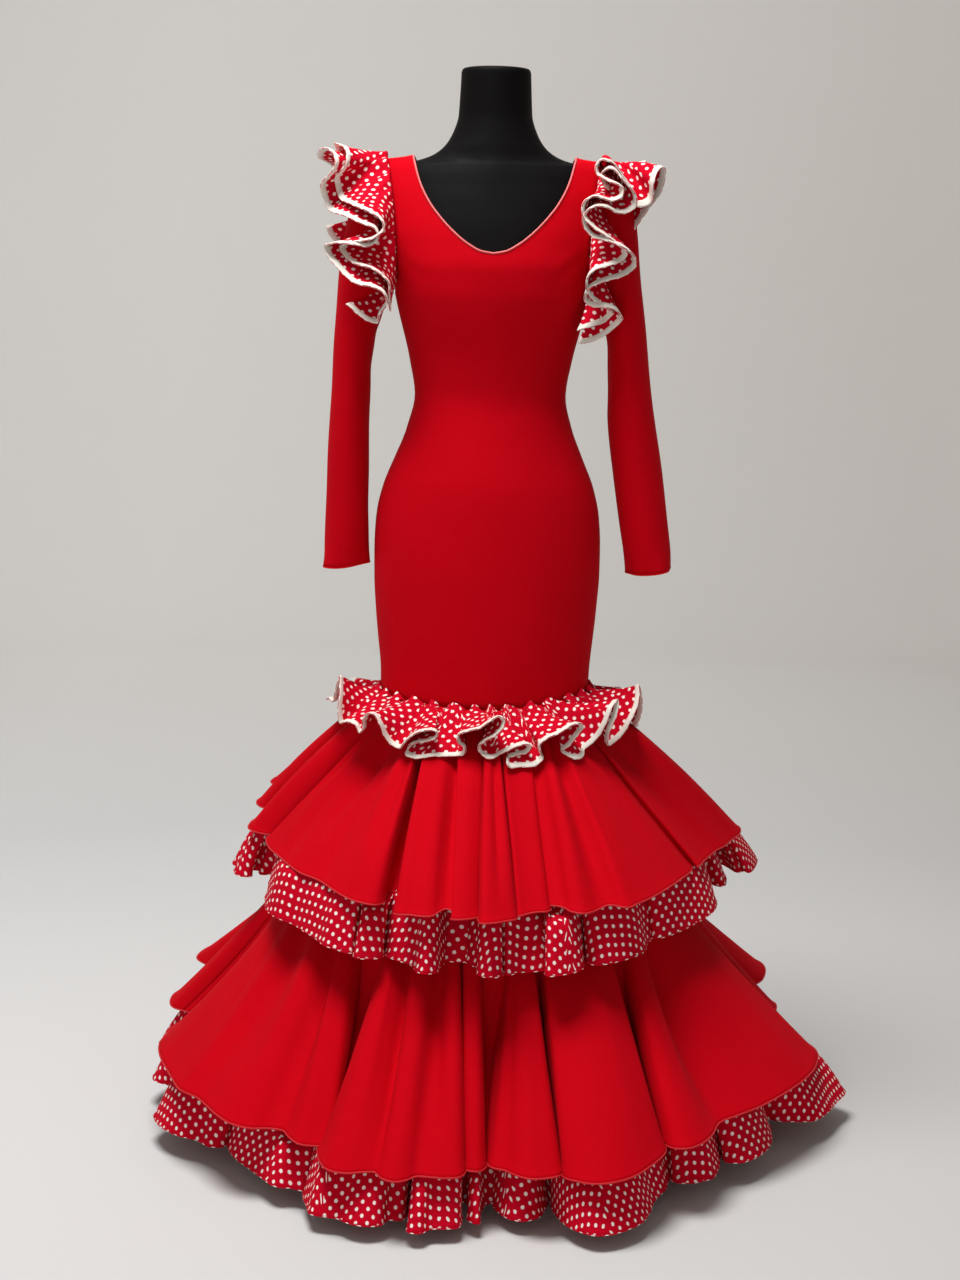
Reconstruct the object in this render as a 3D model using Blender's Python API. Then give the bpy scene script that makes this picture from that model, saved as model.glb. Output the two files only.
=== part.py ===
"""Flamenco dress on a limbless dress form, as a maker would cut and sew it.

A fitted sheath runs from a scooped neckline to the knee and is closed by a concealed zip at the
centre back. Below the knee a plain base skirt carries two wide gathered flounces, each with a dotted
ruffle at its hem. A dotted knee ruffle covers the top seam. The long sleeves hang empty from armholes
that are trimmed with a double dotted ruffle. The dress rests on a padded form with a neck cap, a pole
and a round base.

Metres, +Z up. The wearer's front faces -Y and +X is the wearer's left. The origin is the centre of the
base's underside. Azimuths are in degrees about Z, from 0 at the front to +90 at +X.
"""

import math

import bmesh
import bpy
import numpy as np
from mathutils import Vector

GAP = 0.0003  # between pieces that are sewn or rest together
CLOTH = 0.002  # wall of every cloth piece
BINDING_WALL = 0.003  # bias binding, folded over an edge
HALF_SEAM = GAP / 2
MITRE_SOFTNESS = 0.02  # keeps a wall's corner from running away where two faces fold flat
MITRE_LIMIT = 2.4  # longest corner, in wall thicknesses

# ---- The body the dress is cut to ------------------------------------------------------------
KNEE_HEIGHT = 0.648  # lower edge of the sheath
UNDERARM_HEIGHT = 1.236
FORM_INSET = 0.0075  # from the outside of the dress in to the form
FORM_BOTTOM = 0.745
NECK_TOP = 1.560

BODY_COLUMNS = ("height", "half_width", "front", "back", "power")
BODY = (
    (0.640, 0.1550, 0.118, 0.122, 2.0),
    (0.685, 0.1562, 0.119, 0.126, 2.0),
    (0.725, 0.1600, 0.120, 0.131, 2.0),
    (0.770, 0.1640, 0.121, 0.136, 2.0),
    (0.825, 0.1676, 0.121, 0.139, 2.0),
    (0.870, 0.1680, 0.120, 0.138, 2.0),
    (0.915, 0.1648, 0.118, 0.130, 2.0),
    (0.955, 0.1560, 0.115, 0.118, 2.0),
    (1.000, 0.1380, 0.107, 0.102, 2.0),
    (1.043, 0.1215, 0.098, 0.090, 2.0),
    (1.090, 0.1112, 0.090, 0.085, 2.0),
    (1.140, 0.1190, 0.097, 0.089, 2.0),
    (1.213, 0.1370, 0.118, 0.098, 2.1),
    (1.236, 0.1420, 0.122, 0.101, 2.2),
    (1.270, 0.1500, 0.123, 0.105, 2.2),
    (1.310, 0.1590, 0.115, 0.108, 2.2),
    (1.360, 0.1680, 0.101, 0.104, 2.0),
    (1.390, 0.1715, 0.092, 0.096, 1.8),
    (1.415, 0.1700, 0.084, 0.086, 1.6),
    (1.428, 0.1620, 0.079, 0.080, 1.5),
    (1.434, 0.1250, 0.076, 0.077, 1.6),
    (1.443, 0.0980, 0.073, 0.074, 1.8),
    (1.457, 0.0800, 0.070, 0.071, 2.0),
    (1.475, 0.0690, 0.066, 0.067, 2.0),
    (1.500, 0.0610, 0.062, 0.063, 2.0),
    (1.560, 0.0575, 0.059, 0.060, 2.0),
)
SHOULDER_BAND = (1.392, 1.457)  # heights between which the shoulder line lies

SHOULDER_TIP_X, STRAP_INNER_X = 0.159, 0.119
ARMHOLE_COLUMNS = ("height", "front_x", "back_x")
ARMHOLE = (
    (UNDERARM_HEIGHT, 0.1420, 0.1420),
    (1.262, 0.1408, 0.1420),
    (1.300, 0.1420, 0.1445),
    (1.350, 0.1460, 0.1490),
    (1.400, 0.1530, 0.1550),
    (1.430, SHOULDER_TIP_X, SHOULDER_TIP_X),
)
BACK_NECK_HEIGHT = 1.372

NECKLINE_COLUMNS = ("share", "half_width", "front_height", "back_height")
NECKLINE = (
    (0.00, 0.0000, 1.2935, BACK_NECK_HEIGHT),
    (0.09, 0.0170, 1.2965, 1.3725),
    (0.20, 0.0370, 1.3070, 1.3740),
    (0.33, 0.0580, 1.3240, 1.3780),
    (0.47, 0.0770, 1.3440, 1.3850),
    (0.62, 0.0935, 1.3660, 1.3940),
    (0.80, 0.1075, 1.3940, 1.4100),
    (1.00, STRAP_INNER_X, 1.4335, 1.4335),
)
NECK_SHARE = 0.74  # of the front's width that ends at the neckline; the rest is the shoulder strap

# ---- Sleeves: ring sections from the armhole down to the cuff ---------------------------------
SLEEVE_COLUMNS = ("outer_x", "outer_z", "inner_x", "inner_z", "half_depth")
SLEEVE_POSITIVE_X = (
    (0.1800, 1.4180, 0.1500, 1.2270, 0.0560),
    (0.1990, 1.3860, 0.1590, 1.2120, 0.0560),
    (0.2100, 1.3300, 0.1665, 1.1900, 0.0540),
    (0.2180, 1.2500, 0.1715, 1.1600, 0.0520),
    (0.2275, 1.1700, 0.1725, 1.1200, 0.0500),
    (0.2385, 1.0850, 0.1740, 1.0700, 0.0480),
    (0.2560, 0.9850, 0.1840, 0.9850, 0.0450),
    (0.2670, 0.9100, 0.1950, 0.9100, 0.0430),
    (0.2745, 0.8380, 0.2090, 0.8300, 0.0400),
)
SLEEVE_NEGATIVE_X = (
    (0.1800, 1.4180, 0.1500, 1.2270, 0.0560),
    (0.2010, 1.3860, 0.1590, 1.2120, 0.0560),
    (0.2150, 1.3300, 0.1665, 1.1900, 0.0540),
    (0.2250, 1.2500, 0.1720, 1.1600, 0.0520),
    (0.2300, 1.1700, 0.1760, 1.1200, 0.0500),
    (0.2335, 1.0850, 0.1775, 1.0700, 0.0480),
    (0.2375, 0.9850, 0.1780, 0.9850, 0.0450),
    (0.2400, 0.9100, 0.1780, 0.9100, 0.0430),
    (0.2440, 0.8330, 0.1775, 0.8390, 0.0400),
)
SLEEVE_SIDES = 14

# ---- Base skirt --------------------------------------------------------------------------------
BASE_SKIRT_COLUMNS = ("height", "half_width", "front", "back")
BASE_SKIRT = (
    (0.1000, 0.362, 0.362, 0.362),
    (0.2500, 0.318, 0.314, 0.318),
    (0.4000, 0.266, 0.262, 0.266),
    (0.5200, 0.212, 0.196, 0.202),
    (0.6468, 0.1550, 0.118, 0.1220),
)

# ---- Flounces: hem outlines, a row for each crest and valley ------------------------------------
FOLD_COLUMNS = ("azimuth", "reach", "height", "kind")
CREST, VALLEY = "crest", "valley"
TIER_1 = (
    (-180.0, 0.348, 0.455, VALLEY),
    (-169.0, 0.452, 0.455, CREST),
    (-159.0, 0.352, 0.452, VALLEY),
    (-149.0, 0.450, 0.450, CREST),
    (-141.0, 0.342, 0.445, VALLEY),
    (-133.0, 0.436, 0.445, CREST),
    (-125.0, 0.332, 0.440, VALLEY),
    (-117.0, 0.404, 0.437, CREST),
    (-109.5, 0.326, 0.432, VALLEY),
    (-102.0, 0.378, 0.430, CREST),
    (-93.0, 0.316, 0.430, VALLEY),
    (-86.0, 0.350, 0.430, CREST),
    (-69.0, 0.329, 0.427, CREST),
    (-48.0, 0.345, 0.416, CREST),
    (-33.0, 0.358, 0.409, CREST),
    (-25.0, 0.377, 0.405, CREST),
    (-22.2, 0.304, 0.404, VALLEY),
    (-18.0, 0.395, 0.403, CREST),
    (-14.0, 0.389, 0.402, CREST),
    (-9.0, 0.412, 0.401, CREST),
    (-7.0, 0.352, 0.400, VALLEY),
    (-5.0, 0.396, 0.400, CREST),
    (-1.6, 0.386, 0.400, CREST),
    (-0.5, 0.356, 0.400, VALLEY),
    (0.8, 0.405, 0.400, CREST),
    (6.0, 0.398, 0.400, CREST),
    (7.2, 0.355, 0.401, VALLEY),
    (8.6, 0.384, 0.401, CREST),
    (12.4, 0.371, 0.402, CREST),
    (16.4, 0.318, 0.402, VALLEY),
    (22.0, 0.392, 0.404, CREST),
    (30.0, 0.400, 0.408, CREST),
    (43.0, 0.378, 0.413, CREST),
    (58.0, 0.352, 0.422, CREST),
    (72.0, 0.364, 0.427, CREST),
    (84.0, 0.360, 0.430, CREST),
    (95.0, 0.396, 0.430, CREST),
    (102.0, 0.330, 0.432, VALLEY),
    (110.0, 0.402, 0.435, CREST),
    (118.5, 0.332, 0.438, VALLEY),
    (127.0, 0.428, 0.442, CREST),
    (136.0, 0.340, 0.446, VALLEY),
    (145.0, 0.446, 0.450, CREST),
    (154.0, 0.348, 0.452, VALLEY),
    (162.0, 0.455, 0.455, CREST),
    (170.0, 0.372, 0.455, VALLEY),
    (175.0, 0.430, 0.455, CREST),
    (180.0, 0.348, 0.455, VALLEY),
)
TIER_2 = (
    (-180.0, 0.440, 0.160, VALLEY),
    (-169.0, 0.545, 0.160, CREST),
    (-158.0, 0.444, 0.157, VALLEY),
    (-148.0, 0.548, 0.155, CREST),
    (-138.5, 0.442, 0.150, VALLEY),
    (-127.0, 0.556, 0.148, CREST),
    (-116.0, 0.436, 0.135, VALLEY),
    (-106.0, 0.500, 0.125, CREST),
    (-96.0, 0.432, 0.118, VALLEY),
    (-88.0, 0.462, 0.115, CREST),
    (-67.0, 0.480, 0.111, CREST),
    (-54.0, 0.484, 0.105, CREST),
    (-41.0, 0.503, 0.098, CREST),
    (-34.0, 0.470, 0.094, CREST),
    (-29.0, 0.489, 0.092, CREST),
    (-26.3, 0.426, 0.090, VALLEY),
    (-22.0, 0.548, 0.089, CREST),
    (-16.5, 0.553, 0.088, CREST),
    (-12.0, 0.557, 0.087, CREST),
    (-8.0, 0.534, 0.086, CREST),
    (-4.2, 0.524, 0.085, CREST),
    (-2.4, 0.450, 0.085, VALLEY),
    (-0.4, 0.494, 0.085, CREST),
    (1.8, 0.446, 0.085, VALLEY),
    (4.8, 0.516, 0.085, CREST),
    (9.0, 0.538, 0.086, CREST),
    (11.8, 0.536, 0.086, CREST),
    (13.2, 0.500, 0.087, VALLEY),
    (15.0, 0.562, 0.087, CREST),
    (19.0, 0.571, 0.088, CREST),
    (25.0, 0.535, 0.091, CREST),
    (28.8, 0.512, 0.092, CREST),
    (31.3, 0.428, 0.093, VALLEY),
    (34.4, 0.516, 0.095, CREST),
    (39.0, 0.502, 0.097, CREST),
    (47.0, 0.478, 0.101, CREST),
    (55.0, 0.494, 0.105, CREST),
    (64.0, 0.498, 0.109, CREST),
    (73.0, 0.510, 0.112, CREST),
    (83.0, 0.520, 0.114, CREST),
    (91.0, 0.434, 0.117, VALLEY),
    (100.0, 0.498, 0.122, CREST),
    (110.0, 0.436, 0.130, VALLEY),
    (122.0, 0.560, 0.145, CREST),
    (134.0, 0.442, 0.150, VALLEY),
    (145.0, 0.550, 0.154, CREST),
    (156.0, 0.444, 0.157, VALLEY),
    (168.0, 0.545, 0.160, CREST),
    (180.0, 0.440, 0.160, VALLEY),
)
DOTS_1 = (
    (-180.0, 0.345, 0.380, VALLEY),
    (-172.0, 0.425, 0.380, CREST),
    (-164.0, 0.352, 0.380, VALLEY),
    (-156.0, 0.430, 0.378, CREST),
    (-148.0, 0.350, 0.376, VALLEY),
    (-140.0, 0.428, 0.374, CREST),
    (-132.0, 0.346, 0.370, VALLEY),
    (-124.0, 0.416, 0.366, CREST),
    (-116.0, 0.336, 0.360, VALLEY),
    (-106.0, 0.402, 0.352, CREST),
    (-98.0, 0.330, 0.350, VALLEY),
    (-90.0, 0.364, 0.350, CREST),
    (-79.0, 0.318, 0.349, VALLEY),
    (-71.0, 0.340, 0.347, CREST),
    (-66.0, 0.316, 0.345, VALLEY),
    (-59.0, 0.346, 0.342, CREST),
    (-50.0, 0.322, 0.338, VALLEY),
    (-41.0, 0.354, 0.333, CREST),
    (-29.0, 0.374, 0.327, CREST),
    (-25.5, 0.318, 0.325, VALLEY),
    (-22.0, 0.345, 0.324, CREST),
    (-18.6, 0.324, 0.323, VALLEY),
    (-11.5, 0.390, 0.321, CREST),
    (-7.4, 0.318, 0.321, VALLEY),
    (-4.6, 0.340, 0.320, CREST),
    (-2.6, 0.316, 0.320, VALLEY),
    (0.4, 0.386, 0.320, CREST),
    (4.0, 0.394, 0.320, CREST),
    (7.4, 0.366, 0.320, VALLEY),
    (13.0, 0.399, 0.322, CREST),
    (20.0, 0.388, 0.324, CREST),
    (24.0, 0.340, 0.325, VALLEY),
    (31.0, 0.384, 0.328, CREST),
    (41.0, 0.366, 0.333, CREST),
    (46.0, 0.330, 0.336, VALLEY),
    (54.0, 0.360, 0.340, CREST),
    (63.0, 0.334, 0.345, VALLEY),
    (73.0, 0.366, 0.348, CREST),
    (80.0, 0.326, 0.349, VALLEY),
    (88.0, 0.362, 0.350, CREST),
    (94.0, 0.334, 0.350, VALLEY),
    (105.0, 0.414, 0.352, CREST),
    (114.0, 0.336, 0.358, VALLEY),
    (123.0, 0.440, 0.366, CREST),
    (132.0, 0.350, 0.370, VALLEY),
    (140.0, 0.430, 0.374, CREST),
    (148.0, 0.350, 0.376, VALLEY),
    (156.0, 0.430, 0.378, CREST),
    (164.0, 0.352, 0.380, VALLEY),
    (172.0, 0.425, 0.380, CREST),
    (180.0, 0.345, 0.380, VALLEY),
)
DOTS_2 = (
    (-180.0, 0.450, 0.075, VALLEY),
    (-172.5, 0.545, 0.075, CREST),
    (-165.0, 0.452, 0.074, VALLEY),
    (-157.0, 0.552, 0.072, CREST),
    (-149.0, 0.452, 0.070, VALLEY),
    (-141.0, 0.552, 0.068, CREST),
    (-133.5, 0.450, 0.065, VALLEY),
    (-126.0, 0.560, 0.062, CREST),
    (-117.0, 0.446, 0.054, VALLEY),
    (-108.0, 0.528, 0.046, CREST),
    (-99.0, 0.440, 0.041, VALLEY),
    (-90.0, 0.492, 0.040, CREST),
    (-80.0, 0.446, 0.039, VALLEY),
    (-70.0, 0.506, 0.037, CREST),
    (-62.0, 0.492, 0.036, CREST),
    (-55.5, 0.440, 0.034, VALLEY),
    (-49.0, 0.464, 0.031, CREST),
    (-40.0, 0.478, 0.028, CREST),
    (-31.0, 0.490, 0.025, CREST),
    (-28.6, 0.440, 0.024, VALLEY),
    (-23.4, 0.548, 0.023, CREST),
    (-16.0, 0.556, 0.022, CREST),
    (-12.6, 0.536, 0.021, CREST),
    (-10.2, 0.462, 0.021, VALLEY),
    (-7.8, 0.556, 0.020, CREST),
    (-3.8, 0.534, 0.020, CREST),
    (-2.0, 0.474, 0.020, VALLEY),
    (-0.3, 0.514, 0.020, CREST),
    (3.6, 0.418, 0.020, VALLEY),
    (7.8, 0.508, 0.020, CREST),
    (11.8, 0.430, 0.021, VALLEY),
    (15.0, 0.572, 0.021, CREST),
    (19.5, 0.581, 0.022, CREST),
    (25.0, 0.548, 0.023, CREST),
    (33.5, 0.444, 0.026, VALLEY),
    (41.0, 0.486, 0.029, CREST),
    (45.5, 0.476, 0.031, CREST),
    (48.6, 0.444, 0.032, VALLEY),
    (55.0, 0.496, 0.034, CREST),
    (61.0, 0.484, 0.035, CREST),
    (66.0, 0.448, 0.037, VALLEY),
    (75.0, 0.522, 0.038, CREST),
    (87.0, 0.562, 0.040, CREST),
    (96.0, 0.446, 0.041, VALLEY),
    (105.0, 0.530, 0.045, CREST),
    (114.0, 0.446, 0.052, VALLEY),
    (124.0, 0.572, 0.060, CREST),
    (133.0, 0.450, 0.065, VALLEY),
    (141.0, 0.552, 0.068, CREST),
    (149.0, 0.452, 0.070, VALLEY),
    (157.0, 0.552, 0.072, CREST),
    (165.0, 0.452, 0.074, VALLEY),
    (172.5, 0.545, 0.075, CREST),
    (180.0, 0.450, 0.075, VALLEY),
)
FOLD_STEEPNESS = 0.7  # below 1 a valley is a crease between two rounded lobes
LAYER_GAP = 0.006  # least room between a hanging layer and the one over it
NEARBY = 3.5  # degrees to each side over which two layers are kept apart
TIER_1_TOP, TIER_2_TOP = 0.6450, 0.3900
DOTS_1_TOP, DOTS_2_TOP = 0.4320, 0.1450

# ---- Knee ruffle ---------------------------------------------------------------------------------
KNEE_RUFFLE_TOP = 0.656
KNEE_RUFFLE_WIDTH = 0.078
BINDING_WIDTH = 0.009

# ---- Stand -----------------------------------------------------------------------------------------
BASE_RADIUS, BASE_THICKNESS = 0.170, 0.012
COLLAR_RADIUS, COLLAR_TOP = 0.024, 0.060
POLE_RADIUS = 0.0125


# ---- Helpers -----------------------------------------------------------------------------------------
def smooth(keys, values):
    """A curve through the values that never overshoots them."""
    keys, values = np.array(keys, float), np.array(values, float)
    steps = np.diff(keys)
    slopes = np.diff(values) / steps
    tangents = np.zeros_like(values)
    tangents[0], tangents[-1] = slopes[0], slopes[-1]
    for i in range(1, len(keys) - 1):
        if slopes[i - 1] * slopes[i] > 0:
            before, after = 2 * steps[i] + steps[i - 1], steps[i] + 2 * steps[i - 1]
            tangents[i] = (before + after) / (before / slopes[i - 1] + after / slopes[i])

    def value(key):
        key = min(max(key, keys[0]), keys[-1])
        i = min(int(np.searchsorted(keys, key, side="right")) - 1, len(steps) - 1)
        t = (key - keys[i]) / steps[i]
        start = (1 + 2 * t) * (1 - t) ** 2 * values[i] + t * (1 - t) ** 2 * steps[i] * tangents[i]
        end = t * t * (3 - 2 * t) * values[i + 1] + t * t * (t - 1) * steps[i] * tangents[i + 1]
        return float(start + end)

    return value


def curves(columns, rows):
    """One smooth curve for each column of a table, against its first column."""
    keys = [row[0] for row in rows]
    return {name: smooth(keys, [row[k] for row in rows]) for k, name in enumerate(columns)}


def mix(a, b, share):
    return a + (b - a) * share


def plain_material(name, colour, roughness):
    material = bpy.data.materials.new(name)
    material.use_nodes = True
    shader = material.node_tree.nodes["Principled BSDF"]
    shader.inputs["Base Color"].default_value = (*colour, 1.0)
    shader.inputs["Roughness"].default_value = roughness
    material.diffuse_color = (*colour, 1.0)
    return material


def new_object(name, mesh_builder, material):
    mesh = bpy.data.meshes.new(name)
    mesh_builder.to_mesh(mesh)
    mesh_builder.free()
    mesh.materials.append(material)
    mesh.shade_smooth()
    obj = bpy.data.objects.new(name, mesh)
    bpy.context.scene.collection.objects.link(obj)
    return obj


def mitred_offsets(points, ring):
    """For each point of a grid, the step that moves it half a unit off every face it touches."""
    columns, rows = len(points), len(points[0])
    normals = {}
    for i in range(columns if ring else columns - 1):
        k = (i + 1) % columns
        for j in range(rows - 1):
            rising = points[k][j + 1] - points[i][j]
            falling = points[i][j + 1] - points[k][j]
            normals[i, j] = rising.cross(falling).normalized()
    offsets = []
    for i in range(columns):
        offsets.append([])
        before = (i - 1) % columns if ring else i - 1
        for j in range(rows):
            cells = [(a, b) for a in (before, i) for b in (j - 1, j) if (a, b) in normals]
            faces = np.array([normals[cell] for cell in cells])
            pull = faces.T @ faces + np.eye(3) * MITRE_SOFTNESS
            step = np.linalg.solve(pull, faces.T @ np.full(len(cells), 0.5))
            length = float(np.linalg.norm(step))
            offsets[-1].append(Vector(step * min(1.0, MITRE_LIMIT / length)))
    return offsets


def seam_step(point, step):
    """A wall's corner on a seam plane moves within that plane, so that two halves stay apart."""
    if abs(point.y) < GAP:
        step.y = 0.0
    if abs(point.x) < GAP:
        step.x = 0.0
    return step


def grid_of(surface, columns, rows, ring=False, halved=False):
    """Points of surface(u, v) and the half-unit steps off it, for each column and row."""
    points = [[surface(u, v) for v in rows] for u in columns]
    offsets = mitred_offsets(points, ring)
    if halved:
        for line, steps in zip(points, offsets):
            for point, step in zip(line, steps):
                seam_step(point, step)
    return points, offsets


def split_cell(points, i, k, j):
    """A grid cell's two triangles, split along its shorter diagonal. Both sides of a wall use the
    same split, so that a twisted cell keeps its thickness."""
    corners = ((i, j), (k, j), (k, j + 1), (i, j + 1))
    if (points[k][j] - points[i][j + 1]).length < (points[i][j] - points[k][j + 1]).length:
        corners = corners[1:] + corners[:1]
    return corners[:3], (corners[2], corners[3], corners[0])


def wall_on_grid(name, points, offsets, thickness, material, ring=False):
    """A closed cloth wall on a grid, half its thickness to each side of it."""
    mesh = bmesh.new()
    face, back = (
        [
            [mesh.verts.new(p + d * (side * thickness)) for p, d in zip(line, steps)]
            for line, steps in zip(points, offsets)
        ]
        for side in (1, -1)
    )
    count, last = len(points), len(points[0]) - 1
    spans = [(i, (i + 1) % count) for i in range(count if ring else count - 1)]
    for i, k in spans:
        for j in range(last):
            for a, b, c in split_cell(points, i, k, j):
                mesh.faces.new([face[column][row] for column, row in (a, b, c)])
                mesh.faces.new([back[column][row] for column, row in (c, b, a)])
        mesh.faces.new((face[k][0], face[i][0], back[k][0]))
        mesh.faces.new((face[i][0], back[i][0], back[k][0]))
        mesh.faces.new((face[i][last], face[k][last], back[k][last]))
        mesh.faces.new((face[i][last], back[k][last], back[i][last]))
    if not ring:
        for j in range(last):
            a, b = face[0], back[0]
            mesh.faces.new((a[j], a[j + 1], b[j + 1], b[j]))
            a, b = face[-1], back[-1]
            mesh.faces.new((a[j + 1], a[j], b[j], b[j + 1]))
    return new_object(name, mesh, material)


def wall(name, surface, columns, rows, thickness, material, ring=False):
    """A closed cloth wall on surface(u, v): a whole ring, or one half of a pair."""
    used = columns[:-1] if ring else columns
    points, offsets = grid_of(surface, used, rows, ring, halved=not ring)
    return wall_on_grid(name, points, offsets, thickness, material, ring)


def bound_ruffle(name, surface, columns, rows, width, fabric, binding, halved=False):
    """A ruffle with a bias binding along its free edge; both share the row between them."""
    edge = 1 - BINDING_WIDTH / width
    rows = [*rows, edge - GAP / width, edge, 1.0]
    points, offsets = grid_of(surface, columns, rows, halved=halved)
    for steps in offsets:
        steps[-3] = steps[-2].copy()
    for part, kept, thickness, material in (
        ("", slice(0, -2), CLOTH, fabric),
        ("_binding", slice(-2, None), BINDING_WALL, binding),
    ):
        wall_on_grid(
            name + part,
            [line[kept] for line in points],
            [line[kept] for line in offsets],
            thickness,
            material,
        )


def spaced(start, end, count):
    """count + 1 evenly spaced values from start to end."""
    return [start + (end - start) * i / count for i in range(count + 1)]


# ---- Body, armholes and neckline -----------------------------------------------------------------
body = curves(BODY_COLUMNS, BODY)
armhole = curves(ARMHOLE_COLUMNS, ARMHOLE)
neckline = curves(NECKLINE_COLUMNS, NECKLINE)
FRONT, BACK = -1, 1


def body_depth(x, z, side, inset=0.0):
    """How far the body's front or back stands from the middle plane at x and z."""
    half = body["half_width"](z) - inset
    depth = body["front" if side == FRONT else "back"](z) - inset
    share = min(abs(x) / half, 1.0)
    power = body["power"](z)
    return depth * (1 - share**power) ** (1 / power)


def body_ring(angle, z, inset=0.0):
    """A point of the body's section at height z; the angle runs from the front, in radians."""
    power = body["power"](z)
    s, c = math.sin(angle), math.cos(angle)
    half = body["half_width"](z) - inset
    depth = body["front" if c > 0 else "back"](z) - inset
    x = half * math.copysign(abs(s) ** (2 / power), s)
    y = -depth * math.copysign(abs(c) ** (2 / power), c)
    return Vector((x, y, z))


def body_normal(point):
    """The outward direction of the body's surface at a point near it."""

    def level(x, y, z):
        power = body["power"](z)
        depth = body["front" if y < 0 else "back"](z)
        return (abs(x) / body["half_width"](z)) ** power + (abs(y) / depth) ** power

    small = 5e-4
    x, y, z = point
    return Vector((
        level(x + small, y, z) - level(x - small, y, z),
        level(x, y + small, z) - level(x, y - small, z),
        level(x, y, z + small) - level(x, y, z - small),
    )).normalized()


def shoulder_height(x):
    """The height of the shoulder line at x, where front and back meet."""
    low, high = SHOULDER_BAND
    for _ in range(40):
        middle = (low + high) / 2
        if body["half_width"](middle) > abs(x):
            low = middle
        else:
            high = middle
    return low


def panel_point(u, v, side):
    """The sheath's front or back. u runs from -1 to 1 across; v is 0 at the knee, 1 at the
    underarm and 2 at the neckline and shoulder seam."""
    if v <= 1:
        z = mix(KNEE_HEIGHT, UNDERARM_HEIGHT, v)
        point = body_ring(u * math.pi / 2, z)
        depth = body_ring(u * math.pi / 2 if side == FRONT else math.pi - u * math.pi / 2, z).y
        return Vector((point.x, depth + side * HALF_SEAM, z))
    if abs(u) <= NECK_SHARE:
        share = abs(u) / NECK_SHARE
        top_x = neckline["half_width"](share)
        top_z = neckline["front_height" if side == FRONT else "back_height"](share)
    else:
        top_x = mix(STRAP_INNER_X, SHOULDER_TIP_X, (abs(u) - NECK_SHARE) / (1 - NECK_SHARE))
        top_z = shoulder_height(top_x)
    rise = math.sin((v - 1) * math.pi / 2)
    z = mix(UNDERARM_HEIGHT, top_z, rise)
    edge = armhole["front_x" if side == FRONT else "back_x"]
    power = body["power"](UNDERARM_HEIGHT)
    low_share = math.sin(abs(u) * math.pi / 2) ** (2 / power)
    high_share = top_x / edge(top_z)
    x = edge(z) * mix(low_share, high_share, (v - 1))
    y = side * (body_depth(x, z, side) + HALF_SEAM)
    return Vector((math.copysign(x, u), y, z))


NECK_COLUMNS = (0.0, 0.13, 0.27, 0.41, 0.53, 0.62, 0.69, NECK_SHARE)
STRAP_COLUMNS = (0.87, 1.0)


def make_body_panels(red):
    """The sheath: one front, and two backs that meet at the zip."""
    rows = spaced(0, 1, 10) + spaced(1, 2, 6)[1:]
    inset = CLOTH / 2

    def panel(side, shift=0.0):
        def surface(u, v):
            point = panel_point(u, v, side)
            outward = (point - Vector((0, 0, point.z))).normalized()
            return point - outward * inset + Vector((shift, 0, 0))

        return surface

    half = list(NECK_COLUMNS + STRAP_COLUMNS)
    mirrored = [-u for u in reversed(half)]
    wall("body_front", panel(FRONT), mirrored[:-1] + half, rows, CLOTH, red)
    wall("body_back_positive_x", panel(BACK, HALF_SEAM), half, rows, CLOTH, red)
    wall("body_back_negative_x", panel(BACK, -HALF_SEAM), mirrored, rows, CLOTH, red)


# ---- Sleeves -------------------------------------------------------------------------------------
ARMHOLE_TOP = shoulder_height(SHOULDER_TIP_X)
SLEEVE_START_SHIFT = (0.0011, 0.0028)  # outward from the armhole, at the shoulder and underarm


def armhole_point(angle, inset=0.0):
    """The armhole edge at +X. The angle is 0 at the shoulder and 90 degrees at the front."""
    z = mix(UNDERARM_HEIGHT, ARMHOLE_TOP, (1 + math.cos(angle)) / 2)
    side = FRONT if math.sin(angle) >= 0 else BACK
    x = armhole["front_x" if side == FRONT else "back_x"](z)
    return Vector((x, side * body_depth(x, z, side, inset), z))


def sleeve_surface(rows, mirror):
    """A sleeve's surface(angle, ring): ring 0 is the armhole and the last ring is the cuff."""
    keyed = [(k + 1, *row) for k, row in enumerate(rows)]
    section = curves(("ring", *SLEEVE_COLUMNS), keyed)

    def ring_point(angle, ring):
        outer = Vector((section["outer_x"](ring), 0, section["outer_z"](ring)))
        inner = Vector((section["inner_x"](ring), 0, section["inner_z"](ring)))
        depth = Vector((0, -section["half_depth"](ring), 0))
        across = (outer - inner) / 2 * math.cos(angle)
        return (outer + inner) / 2 + across + depth * math.sin(angle)

    def surface(angle, ring):
        if ring >= 1:
            point = ring_point(angle, ring)
        else:
            start = armhole_point(angle, CLOTH / 2)
            start.x += mix(*SLEEVE_START_SHIFT, (1 - math.cos(angle)) / 2)
            point = start.lerp(ring_point(angle, 1), ring)
        return Vector((point.x * mirror, point.y, point.z))

    return surface


def make_sleeves(red):
    angles = spaced(-math.pi, math.pi, SLEEVE_SIDES)
    for name, rows, mirror in (
        ("sleeve_positive_x", SLEEVE_POSITIVE_X, 1),
        ("sleeve_negative_x", SLEEVE_NEGATIVE_X, -1),
    ):
        rings = list(range(len(rows) + 1))
        wall(name, sleeve_surface(rows, mirror), angles, rings, CLOTH, red, ring=True)


# ---- Shoulder ruffles ------------------------------------------------------------------------------
SHOULDER_COLUMNS = ("name", "length", "lift", "shift", "laid_over")
SHOULDER_LAYERS = (
    ("upper", 0.082, 0.0090, -0.0026, 0.0),
    ("lower", 0.100, 0.0028, 0.0036, 11.0),
)
SHOULDER_SPAN = (146.0, -124.0)  # armhole angles of the ruffle's front and back ends
SHOULDER_DROOP = 0.014

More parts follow.
